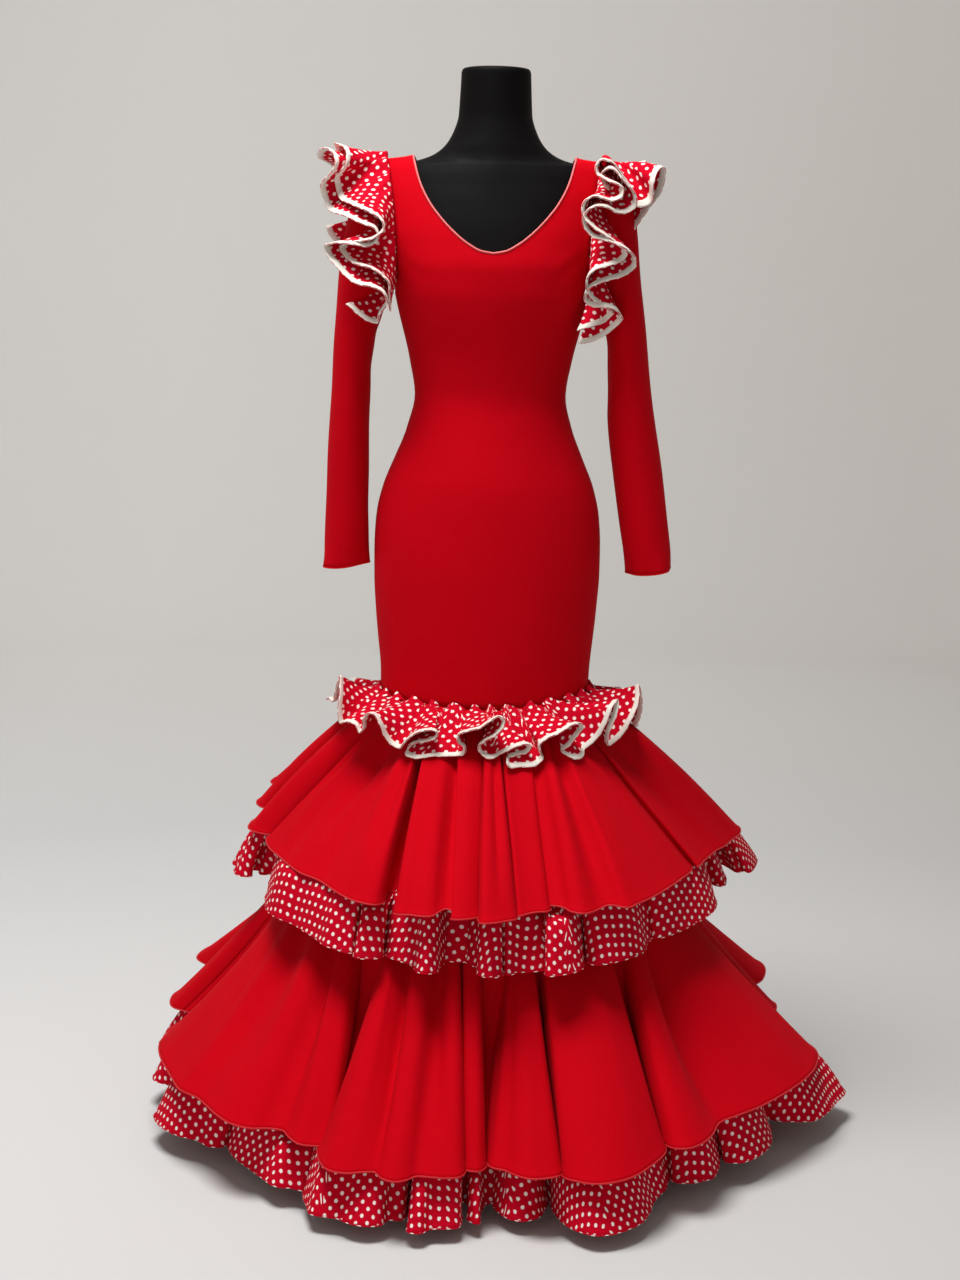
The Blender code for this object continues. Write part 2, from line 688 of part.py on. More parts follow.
# How the upper layer leans at each turn of its waves, from the front end of the seam (share 0) over
# the shoulder to the back end (share 1). Lean 0 stands straight out sideways; at 90 degrees it stands
# in the plane of the armhole, forward, up or back.
WAVE_COLUMNS = ("share", "lean")
WAVES_POSITIVE_X = (
    (0.000, 98.0),
    (0.070, 58.0),
    (0.112, 95.0),
    (0.170, 46.0),
    (0.250, 97.0),
    (0.310, 52.0),
    (0.368, 86.0),
    (0.455, 24.0),
    (0.535, 44.0),
    (0.620, 22.0),
    (0.700, 72.0),
    (0.790, 28.0),
    (0.870, 84.0),
    (0.940, 42.0),
    (1.000, 78.0),
)
WAVES_NEGATIVE_X = (
    (0.000, 84.0),
    (0.098, 90.0),
    (0.176, 30.0),
    (0.232, 80.0),
    (0.360, 24.0),
    (0.420, 50.0),
    (0.510, 22.0),
    (0.580, 48.0),
    (0.660, 24.0),
    (0.745, 78.0),
    (0.830, 28.0),
    (0.910, 84.0),
    (1.000, 44.0),
)
COLUMNS_PER_WAVE_TURN = 3


def evenly_along_armhole():
    """The armhole angle at each share of the ruffle's seam length."""
    angles = [math.radians(a) for a in spaced(*SHOULDER_SPAN, 400)]
    points = [armhole_point(angle) for angle in angles]
    lengths = np.cumsum([0.0] + [(b - a).length for a, b in zip(points, points[1:])])
    return lambda share: float(np.interp(share * lengths[-1], lengths, angles))


armhole_angle = evenly_along_armhole()


def shoulder_ruffle_surface(layer, waves, mirror):
    """A ruffle on the armhole seam: s runs from the front end to the back end, t outward."""
    _, length, lift, shift, laid_over = layer
    lean_at = curves(WAVE_COLUMNS, waves)["lean"]

    def surface(s, t):
        angle = armhole_angle(s)
        lean = math.radians(lean_at(s) - laid_over)
        away = Vector((0.0, -math.sin(angle), math.cos(angle)))
        outward = Vector((math.cos(lean), 0, 0)) + away * math.sin(lean)
        point = armhole_point(angle) + away * lift + Vector((shift, 0, 0)) + outward * (length * t)
        point.z -= SHOULDER_DROOP * t * t
        return Vector((point.x * mirror, point.y, point.z))

    return surface


def make_shoulder_ruffles(dotted, white):
    for side, mirror, waves in (
        ("positive_x", 1, WAVES_POSITIVE_X),
        ("negative_x", -1, WAVES_NEGATIVE_X),
    ):
        turns = [row[0] for row in waves]
        columns = [0.0]
        for a, b in zip(turns, turns[1:]):
            columns += spaced(a, b, COLUMNS_PER_WAVE_TURN)[1:]
        for layer in SHOULDER_LAYERS:
            surface = shoulder_ruffle_surface(layer, waves, mirror)
            name = f"shoulder_ruffle_{layer[0]}_{side}"
            bound_ruffle(name, surface, columns, [0.0, 0.5], layer[1], dotted, white)


# ---- Skirt layers ------------------------------------------------------------------------------------
base_skirt = curves(BASE_SKIRT_COLUMNS, BASE_SKIRT)


def oval_radius(azimuth, half_width, front, back):
    s, c = math.sin(azimuth), math.cos(azimuth)
    depth = front if c > 0 else back
    return 1 / math.sqrt((s / half_width) ** 2 + (c / depth) ** 2)


def base_skirt_radius(azimuth, z):
    half_width, front, back = (base_skirt[name](z) for name in ("half_width", "front", "back"))
    return oval_radius(azimuth, half_width, front, back)


class Flounce:
    """A layer gathered onto the base skirt. Its hem follows a table of crests and valleys."""

    def __init__(self, table, top, bow, under=()):
        self.table, self.top, self.bow, self.under = table, top, bow, under
        self.azimuths = [row[0] for row in table]
        self.heights = smooth(self.azimuths, [row[2] for row in table])

    def reach(self, azimuth):
        i = int(np.searchsorted(self.azimuths, azimuth, side="right")) - 1
        i = min(max(i, 0), len(self.table) - 2)
        (a0, r0, _, kind0), (a1, r1, _, kind1) = self.table[i], self.table[i + 1]
        share = (azimuth - a0) / (a1 - a0)
        if kind0 == kind1:
            return mix(r0, r1, (1 - math.cos(math.pi * share)) / 2)
        if kind0 == VALLEY:
            return mix(r0, r1, math.sin(math.pi / 2 * share) ** FOLD_STEEPNESS)
        return mix(r1, r0, math.cos(math.pi / 2 * share) ** FOLD_STEEPNESS)

    def free_radius(self, azimuth, z):
        """The radius before the layer is held in by those over it."""
        top = base_skirt_radius(math.radians(azimuth), self.top) + CLOTH + GAP * 2
        share = min(max((self.top - z) / (self.top - self.heights(azimuth)), 0.0), 1.0)
        return mix(top, self.reach(azimuth), share**self.bow)

    def near(self, azimuth, z):
        """The layer's radius at and just beside an azimuth."""
        turns = (azimuth - NEARBY, azimuth, azimuth + NEARBY)
        return [self.radius((turn + 180) % 360 - 180, z) for turn in turns]

    def radius(self, azimuth, z):
        radius = self.free_radius(azimuth, z)
        for outer in self.under:
            below = max(outer.heights(azimuth) - z, 0.0)
            radius = min(radius, min(outer.near(azimuth, z)) - LAYER_GAP + 2 * below)
        least = base_skirt_radius(math.radians(azimuth), z) + CLOTH + GAP * 2
        return max(radius, least)

    def surface(self, side):
        """surface(azimuth, t) of the front or back half, cut at the side seams."""

        def point(azimuth, t):
            folded = azimuth if azimuth <= 180 else azimuth - 360
            z = mix(self.top, self.heights(folded), t)
            radius = self.radius(folded, z)
            turn = math.radians(azimuth)
            y = side * HALF_SEAM - radius * math.cos(turn)
            return Vector((radius * math.sin(turn), y, z))

        return point

    def columns(self, side, widest):
        """Azimuths of the half's columns: every crest and valley, and steps between them."""
        if side == FRONT:
            stops = [-90.0] + [a for a in self.azimuths if -90 < a < 90] + [90.0]
        else:
            turned = [a if a > 0 else a + 360 for a in self.azimuths[:-1]]
            stops = [90.0] + sorted(a for a in turned if 90 < a < 270) + [270.0]
        found = [stops[0]]
        for a, b in zip(stops, stops[1:]):
            found += spaced(a, b, max(1, math.ceil((b - a) / widest - 0.01)))[1:]
        return found


tier_1 = Flounce(TIER_1, TIER_1_TOP, 1.0)
dots_1 = Flounce(DOTS_1, DOTS_1_TOP, 1.0, under=(tier_1,))
tier_2 = Flounce(TIER_2, TIER_2_TOP, 1.3, under=(dots_1,))
dots_2 = Flounce(DOTS_2, DOTS_2_TOP, 1.4, under=(tier_2,))

LAYER_COLUMNS = ("name", "flounce", "rows", "widest_step", "fabric")
PLAIN, DOTTED = "plain", "dotted"
LAYERS = (
    ("flounce_1", tier_1, (0.0, 0.3, 0.62, 1.0), 5.6, PLAIN),
    ("dotted_ruffle_1", dots_1, (0.0, 0.45, 1.0), 4.5, DOTTED),
    ("flounce_2", tier_2, (0.0, 0.16, 0.4, 0.7, 1.0), 5.6, PLAIN),
    ("dotted_ruffle_2", dots_2, (0.0, 0.4, 0.7, 1.0), 4.6, DOTTED),
)
HALVES = (("front", FRONT), ("back", BACK))


def make_skirt_layers(fabrics):
    for name, flounce, rows, widest, fabric in LAYERS:
        for half, side in HALVES:
            columns = flounce.columns(side, widest)
            surface = flounce.surface(side)
            wall(f"{name}_{half}", surface, columns, list(rows), CLOTH, fabrics[fabric])


def make_base_skirt(material):
    def surface_of(side):
        def surface(azimuth, z):
            turn = math.radians(azimuth)
            radius = base_skirt_radius(turn, z) - CLOTH / 2
            y = side * HALF_SEAM - radius * math.cos(turn)
            return Vector((radius * math.sin(turn), y, z))

        return surface

    rows = [row[0] for row in reversed(BASE_SKIRT)]
    for half, side in HALVES:
        middle = 0.0 if side == FRONT else 180.0
        columns = spaced(middle - 90, middle + 90, 16)
        wall(f"base_skirt_{half}", surface_of(side), columns, rows, CLOTH, material)


# ---- Knee ruffle -------------------------------------------------------------------------------------
KNEE_LOBES = (-180, -151, -120, -90, -57, -25, 1, 18, 46, 70, 90, 120, 151, 180)
KNEE_SWING, KNEE_SLIDE = 0.023, 0.009
KNEE_FALL = (36.0, 22.0)  # degrees below level at the front and at the back


knee_wave = smooth(KNEE_LOBES, range(len(KNEE_LOBES)))


def knee_ruffle_point(azimuth, t, side):
    """The ruffle over the knee seam, standing outward in waves that fold back on themselves."""
    folded = azimuth if azimuth <= 180 else azimuth - 360
    phase = 2 * math.pi * knee_wave(folded)
    fall = math.radians(mix(*KNEE_FALL, (1 - math.cos(math.radians(azimuth))) / 2))
    swing = -KNEE_SWING * math.cos(phase) * t**1.1
    slide = KNEE_SLIDE * math.sin(2 * phase) * t**1.6
    turn = math.radians(azimuth)
    section = (body[name](KNEE_RUFFLE_TOP) for name in ("half_width", "front", "back"))
    out = KNEE_RUFFLE_WIDTH * t
    radius = oval_radius(turn, *section) + CLOTH
    radius += out * math.cos(fall) + swing * math.sin(fall)
    z = KNEE_RUFFLE_TOP - out * math.sin(fall) + swing * math.cos(fall)
    turn += slide / radius
    if z < TIER_1_TOP:
        radius = max(radius, max(tier_1.near(math.degrees(turn), z)) + 1.5 * LAYER_GAP)
    y = side * HALF_SEAM - radius * math.cos(turn)
    return Vector((radius * math.sin(turn), y, z))


def make_knee_ruffle(dotted, white):
    for half, side in HALVES:
        middle = 0.0 if side == FRONT else 180.0
        columns = spaced(middle - 90, middle + 90, 52)

        def surface(azimuth, t, side=side):
            return knee_ruffle_point(azimuth, t, side)

        name = f"knee_ruffle_{half}"
        bound_ruffle(
            name, surface, columns, [0.0, 0.45], KNEE_RUFFLE_WIDTH, dotted, white, halved=True
        )


# ---- Form and stand ------------------------------------------------------------------------------------
FORM_SIDES = 20
DROP_START, DROP_BAND = 1.34, 0.06  # over this height the shoulders sink below the dress
FORM_ROWS = (0.76, 0.80, 0.87, 0.93, 0.98, 1.03, 1.09, 1.15, 1.215, 1.27, 1.32, 1.37)
SHOULDER_ROWS = (1.40, 1.418, 1.430, 1.437, 1.450, 1.475, 1.515)


def lofted(name, rings, material):
    """A closed body through rings of equal length, with flat ends."""
    mesh = bmesh.new()
    loops = [[mesh.verts.new(point) for point in ring] for ring in rings]
    count = len(loops[0])
    for low, high in zip(loops, loops[1:]):
        for i in range(count):
            k = (i + 1) % count
            mesh.faces.new((low[i], low[k], high[k], high[i]))
    mesh.faces.new(loops[0])
    mesh.faces.new(loops[-1])
    bmesh.ops.recalc_face_normals(mesh, faces=mesh.faces)
    return new_object(name, mesh, material)


def make_form(black):
    """The padded torso and neck, clear of the cloth all round."""

    def ring(z, inset):
        angles = [2 * math.pi * k / FORM_SIDES for k in range(FORM_SIDES)]
        drop = FORM_INSET * min(max((z - DROP_START) / DROP_BAND, 0.0), 1.0)
        return [body_ring(angle, z, inset) - Vector((0, 0, drop)) for angle in angles]

    bottom_round, top_round = 0.012, 0.006
    rings = [
        ring(FORM_BOTTOM, FORM_INSET + bottom_round),
        ring(FORM_BOTTOM + bottom_round / 2, FORM_INSET + bottom_round / 4),
    ]
    rings += [ring(z, FORM_INSET) for z in FORM_ROWS + SHOULDER_ROWS]
    rings += [
        ring(NECK_TOP - top_round, FORM_INSET),
        ring(NECK_TOP, FORM_INSET + top_round),
    ]
    lofted("form_torso", rings, black)


def turned(name, profile, sides, material):
    """A solid of revolution about Z; the profile runs from the axis to the axis."""
    mesh = bmesh.new()
    low, high = (mesh.verts.new((0, 0, profile[i][1])) for i in (0, -1))
    rings = []
    for radius, z in profile[1:-1]:
        turns = [2 * math.pi * k / sides for k in range(sides)]
        rings.append([mesh.verts.new((radius * math.cos(a), radius * math.sin(a), z)) for a in turns])
    for k in range(sides):
        n = (k + 1) % sides
        mesh.faces.new((low, rings[0][n], rings[0][k]))
        for a, b in zip(rings, rings[1:]):
            mesh.faces.new((a[k], a[n], b[n], b[k]))
        mesh.faces.new((high, rings[-1][k], rings[-1][n]))
    bmesh.ops.recalc_face_normals(mesh, faces=mesh.faces)
    obj = new_object(name, mesh, material)
    obj.data.set_sharp_from_angle(angle=math.radians(35))
    return obj


def make_stand(metal):
    socket_floor = 0.020
    bore = POLE_RADIUS + GAP
    base = (
        (0, 0),
        (BASE_RADIUS - 0.002, 0),
        (BASE_RADIUS, 0.002),
        (BASE_RADIUS, BASE_THICKNESS - 0.003),
        (BASE_RADIUS - 0.005, BASE_THICKNESS),
        (0.040, BASE_THICKNESS + 0.003),
        (COLLAR_RADIUS, BASE_THICKNESS + 0.012),
        (COLLAR_RADIUS - 0.002, COLLAR_TOP),
        (bore, COLLAR_TOP),
        (bore, socket_floor),
        (0, socket_floor),
    )
    turned("stand_base", base, 40, metal)
    foot, head = socket_floor + GAP, FORM_BOTTOM - GAP
    turned("stand_pole", ((0, foot), (POLE_RADIUS, foot), (POLE_RADIUS, head), (0, head)), 16, metal)


# ---- Neckline piping and zip ----------------------------------------------------------------------------
PIPING_RADIUS = 0.0014
PIPING_LIFT = 0.0005
ZIP_TOP = BACK_NECK_HEIGHT - 0.006
SLIDER_HEIGHT, SLIDER_PLATE = 0.0095, 0.0015
ARCH_WIDTH, WINDOW_HEIGHT, WINDOW_DEPTH, ARCH_WALL = 0.0026, 0.0044, 0.0022, 0.0011
PULL_THICKNESS, PULL_WINDOW_WIDTH, PULL_WIDTH, PULL_LENGTH = 0.0011, 0.0036, 0.0062, 0.0200


def neckline_loop():
    """Points just inside the neck opening, from the centre front round to the centre front."""
    across = [-u for u in reversed(NECK_COLUMNS[1:])] + list(NECK_COLUMNS)
    front = [panel_point(u, 2.0, FRONT) for u in across]
    back = [panel_point(u, 2.0, BACK) for u in reversed(across)]
    return front + back


def make_piping(pink):
    """A thin piping all round the neck opening, one cord bent to the neckline."""
    loop = neckline_loop()
    kept = [p for k, p in enumerate(loop) if (p - loop[k - 1]).length > 0.002]
    centre = sum(kept, Vector()) / len(kept)
    mesh = bmesh.new()
    rings = []
    count = len(kept)
    clear = PIPING_RADIUS + GAP + CLOTH / 2
    for k, point in enumerate(kept):
        tangent = (kept[(k + 1) % count] - kept[k - 1]).normalized()
        side = body_normal(point)
        inward = side.cross(tangent)
        inward = (inward - side * inward.dot(side)).normalized()
        if inward.dot(centre - point) < 0:
            inward.negate()
        middle = point + inward * clear + side * PIPING_LIFT
        ring = []
        for q in range(4):
            angle = math.pi / 4 + q * math.pi / 2
            offset = inward * math.cos(angle) + side * math.sin(angle)
            ring.append(mesh.verts.new(middle + offset * PIPING_RADIUS))
        rings.append(ring)
    for k in range(count):
        a, b = rings[k], rings[(k + 1) % count]
        for q in range(4):
            p = (q + 1) % 4
            mesh.faces.new((a[q], a[p], b[p], b[q]))
    bmesh.ops.recalc_face_normals(mesh, faces=mesh.faces)
    return new_object("neckline_piping", mesh, pink)


def plate_with_window(name, outline, window, thickness, axis, material):
    """A flat plate with one window, between two loops of equally many points."""
    mesh = bmesh.new()
    loops = []
    for offset in (-thickness / 2, thickness / 2):
        for points in (outline, window):
            if axis == "X":
                loops.append([mesh.verts.new((offset, a, b)) for a, b in points])
            else:
                loops.append([mesh.verts.new((a, offset, b)) for a, b in points])
    outer_low, inner_low, outer_high, inner_high = loops
    count = len(outline)
    for k in range(count):
        n = (k + 1) % count
        mesh.faces.new((outer_low[k], outer_low[n], inner_low[n], inner_low[k]))
        mesh.faces.new((outer_high[k], outer_high[n], inner_high[n], inner_high[k]))
        mesh.faces.new((outer_low[k], outer_low[n], outer_high[n], outer_high[k]))
        mesh.faces.new((inner_low[k], inner_low[n], inner_high[n], inner_high[k]))
    bmesh.ops.recalc_face_normals(mesh, faces=mesh.faces)
    return new_object(name, mesh, material)


def make_zip(enamel):
    """The concealed zip's slider at its closed top end, and the pull that hinges on it."""
    below = ZIP_TOP - 0.02
    rise = body_depth(0.003, below, BACK) - body_depth(0.003, ZIP_TOP, BACK)
    slope = math.atan2(rise, ZIP_TOP - below)
    outward = SLIDER_PLATE + WINDOW_DEPTH / 2 + GAP * 2
    place = Vector((0, body_depth(0.003, ZIP_TOP, BACK), ZIP_TOP))
    place += Vector((0, math.cos(slope), math.sin(slope))) * outward

    half_w, half_d = WINDOW_HEIGHT / 2, WINDOW_DEPTH / 2
    drop = half_w - PULL_THICKNESS / 2 - GAP * 1.5  # the crossbar hangs at the window's top
    window = [(-half_d, -half_w), (half_d, -half_w), (half_d, half_w), (-half_d, half_w)]
    arch = [
        (-half_d - SLIDER_PLATE, -SLIDER_HEIGHT / 2),
        (half_d + ARCH_WALL, -half_w - ARCH_WALL),
        (half_d + ARCH_WALL, half_w + ARCH_WALL),
        (-half_d - SLIDER_PLATE, SLIDER_HEIGHT / 2),
    ]
    down = [(y, z - drop) for y, z in window]
    arch = [(y, z - drop) for y, z in arch]
    slider = plate_with_window("zip_slider", arch, down, ARCH_WIDTH, "X", enamel)

    bar = PULL_THICKNESS / 2
    inner = PULL_WINDOW_WIDTH / 2
    outer = PULL_WIDTH / 2
    hole_end = -0.0075
    hole = [(-inner, hole_end), (inner, hole_end), (inner, -bar), (-inner, -bar)]
    outline = [(-outer * 0.9, -PULL_LENGTH), (outer * 0.9, -PULL_LENGTH), (outer, bar), (-outer, bar)]
    pull = plate_with_window("zip_pull", outline, hole, PULL_THICKNESS, "Y", enamel)
    for piece in (slider, pull):
        piece.location = place
        piece.rotation_euler = (slope, 0, 0)


def main():
    for obj in list(bpy.data.objects):
        bpy.data.objects.remove(obj)
    red = plain_material("red_crepe", (0.62, 0.004, 0.015), 0.7)
    dotted = plain_material("dotted_cotton", (0.50, 0.010, 0.030), 0.7)
    white = plain_material("white_binding", (0.80, 0.76, 0.72), 0.6)
    pink = plain_material("neck_piping", (0.80, 0.25, 0.25), 0.6)
    black = plain_material("form_black", (0.012, 0.012, 0.014), 0.6)
    metal = plain_material("stand_metal", (0.10, 0.10, 0.11), 0.4)
    metal.node_tree.nodes["Principled BSDF"].inputs["Metallic"].default_value = 0.8
    enamel = plain_material("zip_enamel", (0.40, 0.010, 0.020), 0.35)
    make_form(black)
    make_stand(metal)
    make_body_panels(red)
    make_piping(pink)
    make_sleeves(red)
    make_shoulder_ruffles(dotted, white)
    make_base_skirt(red)
    make_skirt_layers({PLAIN: red, DOTTED: dotted})
    make_knee_ruffle(dotted, white)
    make_zip(enamel)


main()
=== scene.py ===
import math

import bpy
import numpy as np
from mathutils import Matrix, Vector


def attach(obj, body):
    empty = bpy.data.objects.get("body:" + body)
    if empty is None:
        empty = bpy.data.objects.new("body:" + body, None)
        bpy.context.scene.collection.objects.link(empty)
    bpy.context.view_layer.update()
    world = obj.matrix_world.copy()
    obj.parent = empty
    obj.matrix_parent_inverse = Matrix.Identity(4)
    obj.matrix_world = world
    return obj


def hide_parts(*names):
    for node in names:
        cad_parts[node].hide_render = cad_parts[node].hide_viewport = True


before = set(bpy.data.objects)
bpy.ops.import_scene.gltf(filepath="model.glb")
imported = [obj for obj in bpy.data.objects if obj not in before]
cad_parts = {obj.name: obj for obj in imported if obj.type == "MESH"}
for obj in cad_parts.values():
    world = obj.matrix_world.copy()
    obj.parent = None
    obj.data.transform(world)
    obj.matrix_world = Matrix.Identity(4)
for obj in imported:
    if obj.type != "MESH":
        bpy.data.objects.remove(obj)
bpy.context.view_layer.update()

DRESS, PULL = "dress_and_form", "pull_tab"

# ---- Sizes shared with the solids ----------------------------------------------------------------
GAP = 0.0003
CLOTH = 0.002
SHELL = 0.0011  # real thickness of the crepe and cotton
UNDERARM_HEIGHT = 1.236
NECK_TOP = 1.560
FORM_BOTTOM = 0.745
FORM_INSET = 0.0075
BODY_COLUMNS = ("height", "half_width", "front", "back", "power")
BODY = (
    (0.64, 0.155, 0.118, 0.122, 2), (0.685, 0.1562, 0.119, 0.126, 2), (0.725, 0.16, 0.12, 0.131, 2),
    (0.77, 0.164, 0.121, 0.136, 2), (0.825, 0.1676, 0.121, 0.139, 2), (0.87, 0.168, 0.12, 0.138, 2),
    (0.915, 0.1648, 0.118, 0.13, 2), (0.955, 0.156, 0.115, 0.118, 2), (1, 0.138, 0.107, 0.102, 2),
    (1.043, 0.1215, 0.098, 0.09, 2), (1.09, 0.1112, 0.09, 0.085, 2), (1.14, 0.119, 0.097, 0.089, 2),
    (1.213, 0.137, 0.118, 0.098, 2.1), (1.236, 0.142, 0.122, 0.101, 2.2), (1.27, 0.15, 0.123, 0.105, 2.2),
    (1.31, 0.159, 0.115, 0.108, 2.2), (1.36, 0.168, 0.101, 0.104, 2), (1.39, 0.1715, 0.092, 0.096, 1.8),
    (1.415, 0.17, 0.084, 0.086, 1.6), (1.428, 0.162, 0.079, 0.08, 1.5), (1.434, 0.125, 0.076, 0.077, 1.6),
    (1.443, 0.098, 0.073, 0.074, 1.8), (1.457, 0.08, 0.07, 0.071, 2), (1.475, 0.069, 0.066, 0.067, 2),
    (1.5, 0.061, 0.062, 0.063, 2), (1.56, 0.0575, 0.059, 0.06, 2),
)
SHOULDER_BAND = (1.392, 1.457)  # heights between which the shoulder line lies

SHOULDER_TIP_X, STRAP_INNER_X = 0.159, 0.119
ARMHOLE_COLUMNS = ("height", "front_x", "back_x")
ARMHOLE = (
    (UNDERARM_HEIGHT, 0.1420, 0.1420),
    (1.262, 0.1408, 0.1420),
    (1.300, 0.1420, 0.1445),
    (1.350, 0.1460, 0.1490),
    (1.400, 0.1530, 0.1550),
    (1.430, SHOULDER_TIP_X, SHOULDER_TIP_X),
)
BACK_NECK_HEIGHT = 1.372

NECKLINE_COLUMNS = ("share", "half_width", "front_height", "back_height")
NECKLINE = (
    (0.00, 0.0000, 1.2935, BACK_NECK_HEIGHT),
    (0.09, 0.0170, 1.2965, 1.3725),
    (0.20, 0.0370, 1.3070, 1.3740),
    (0.33, 0.0580, 1.3240, 1.3780),
    (0.47, 0.0770, 1.3440, 1.3850),
    (0.62, 0.0935, 1.3660, 1.3940),
    (0.80, 0.1075, 1.3940, 1.4100),
    (1.00, STRAP_INNER_X, 1.4335, 1.4335),
)
NECK_SHARE = 0.74  # of the front's width that ends at the neckline; the rest is the shoulder strap

# ---- Sleeves: ring sections from the armhole down to the cuff ------------------------------------
SLEEVE_COLUMNS = ("outer_x", "outer_z", "inner_x", "inner_z", "half_depth")
SLEEVE_POSITIVE_X = (
    (0.18, 1.418, 0.15, 1.227, 0.056), (0.199, 1.386, 0.159, 1.212, 0.056), (0.21, 1.33, 0.1665, 1.19, 0.054),
    (0.218, 1.25, 0.1715, 1.16, 0.052), (0.2275, 1.17, 0.1725, 1.12, 0.05), (0.2385, 1.085, 0.174, 1.07, 0.048),
    (0.256, 0.985, 0.184, 0.985, 0.045), (0.267, 0.91, 0.195, 0.91, 0.043), (0.2745, 0.838, 0.209, 0.83, 0.04),
)
SLEEVE_NEGATIVE_X = (
    (0.18, 1.418, 0.15, 1.227, 0.056), (0.201, 1.386, 0.159, 1.212, 0.056), (0.215, 1.33, 0.1665, 1.19, 0.054),
    (0.225, 1.25, 0.172, 1.16, 0.052), (0.23, 1.17, 0.176, 1.12, 0.05), (0.2335, 1.085, 0.1775, 1.07, 0.048),
    (0.2375, 0.985, 0.178, 0.985, 0.045), (0.24, 0.91, 0.178, 0.91, 0.043), (0.244, 0.833, 0.1775, 0.839, 0.04),
)

# ---- Base skirt ----------------------------------------------------------------------------------
BASE_SKIRT_COLUMNS = ("height", "half_width", "front", "back")
BASE_SKIRT = (
    (0.1000, 0.362, 0.362, 0.362),
    (0.2500, 0.318, 0.314, 0.318),
    (0.4000, 0.266, 0.262, 0.266),
    (0.5200, 0.212, 0.196, 0.202),
    (0.6468, 0.1550, 0.118, 0.1220),
)

# ---- Flounces: hem outlines, a row for each turn of the hem --------------------------------------
# Columns: the azimuth on the seam, then the azimuth, reach and height of the hem, both in mm.
TIER_1 = (
    (-180, -180, 352, 455), (-171.7, -173, 452, 455), (-168.7, -168, 455, 455), (-160, -160, 352, 452),
    (-150.8, -154, 440, 451), (-146.2, -148, 452, 450), (-136, -143, 350, 446), (-128.1, -139, 430, 446),
    (-124, -134, 452, 445), (-119.7, -128.5, 438, 444), (-112, -125, 362, 441), (-105.1, -121.5, 384, 439),
    (-98, -117, 396, 436), (-93, -111.5, 376, 434), (-86, -108, 322, 432), (-81.4, -104, 346, 430),
    (-76, -98, 358, 427), (-71.6, -92, 352, 425), (-67.7, -88, 328, 424), (-64, -86.4, 298, 424),
    (-62, -84.6, 320, 424), (-56, -78.6, 324, 420), (-48, -67.7, 319, 416), (-44.6, -59.1, 322, 414),
    (-42, -52.7, 326, 412), (-40, -43.9, 329, 411), (-39, -37.4, 344, 409), (-38, -31.8, 358, 406),
    (-36.9, -27, 367, 404), (-36.2, -24.1, 363, 402), (-36, -23.3, 345, 402), (-35.7, -24.5, 319, 405),
    (-35.4, -25, 298, 407), (-35.3, -22.9, 298, 407), (-35, -20, 313, 405), (-34.6, -18.1, 337, 402),
    (-34, -17.7, 368, 400), (-32.8, -17.7, 385, 400), (-32, -16.4, 389, 400), (-28.7, -14.5, 385, 400),
    (-25, -12.2, 388, 400), (-22.3, -10.3, 385, 400), (-19, -9, 370, 403), (-17, -7.6, 360, 405),
    (-16, -6.2, 362, 404), (-15.6, -5.5, 376, 401), (-15, -5.6, 393, 400), (-10, -4.1, 392, 400),
    (-5.6, -2.1, 385, 400), (-1, -0.5, 374, 400), (0.2, 0, 334, 402), (1, -0.2, 394, 400), (2, 0.5, 411, 400),
    (4.5, 2.8, 406, 400), (6.2, 4.8, 398, 400), (7.6, 6.5, 391, 400), (8.4, 8, 356, 401), (10, 8.1, 373, 400),
    (14, 9.7, 367, 401), (20, 12.1, 363, 402), (26.5, 14.1, 362, 402), (29, 16.4, 334, 403), (30, 16.2, 315, 404),
    (30.6, 14.2, 349, 405), (31, 15.5, 347, 406), (32, 17.3, 349, 406), (32.9, 18.9, 358, 405), (34, 19.8, 374, 403),
    (34.9, 21.5, 382, 402), (36, 23.8, 378, 402), (37.4, 26.4, 369, 403), (38.5, 28.7, 366, 405),
    (39.7, 30.2, 374, 405), (41, 31.3, 385, 404), (42.5, 35, 380, 406), (44.5, 39.8, 370, 407), (47.5, 47, 356, 409),
    (51, 56.1, 344, 411), (53.5, 63, 340, 413), (55, 69.7, 334, 414), (55.6, 68.3, 340, 415), (57, 73.8, 342, 416),
    (58.6, 79.7, 348, 418), (60, 82.9, 353, 419), (65, 86.7, 365, 420), (72, 92, 380, 423), (79, 96.5, 398, 426),
    (85, 101, 404, 429), (87.3, 105, 392, 431), (92, 109, 336, 433), (97.8, 114, 350, 435), (108, 119, 398, 438),
    (113.8, 124, 408, 440), (124, 129, 352, 443), (129.9, 134, 392, 445), (138, 140, 448, 448),
    (141.9, 145, 446, 450), (152, 151, 352, 452), (158.2, 156, 430, 453), (162, 162, 456, 455), (165, 167, 440, 455),
    (172, 173, 352, 455),
)
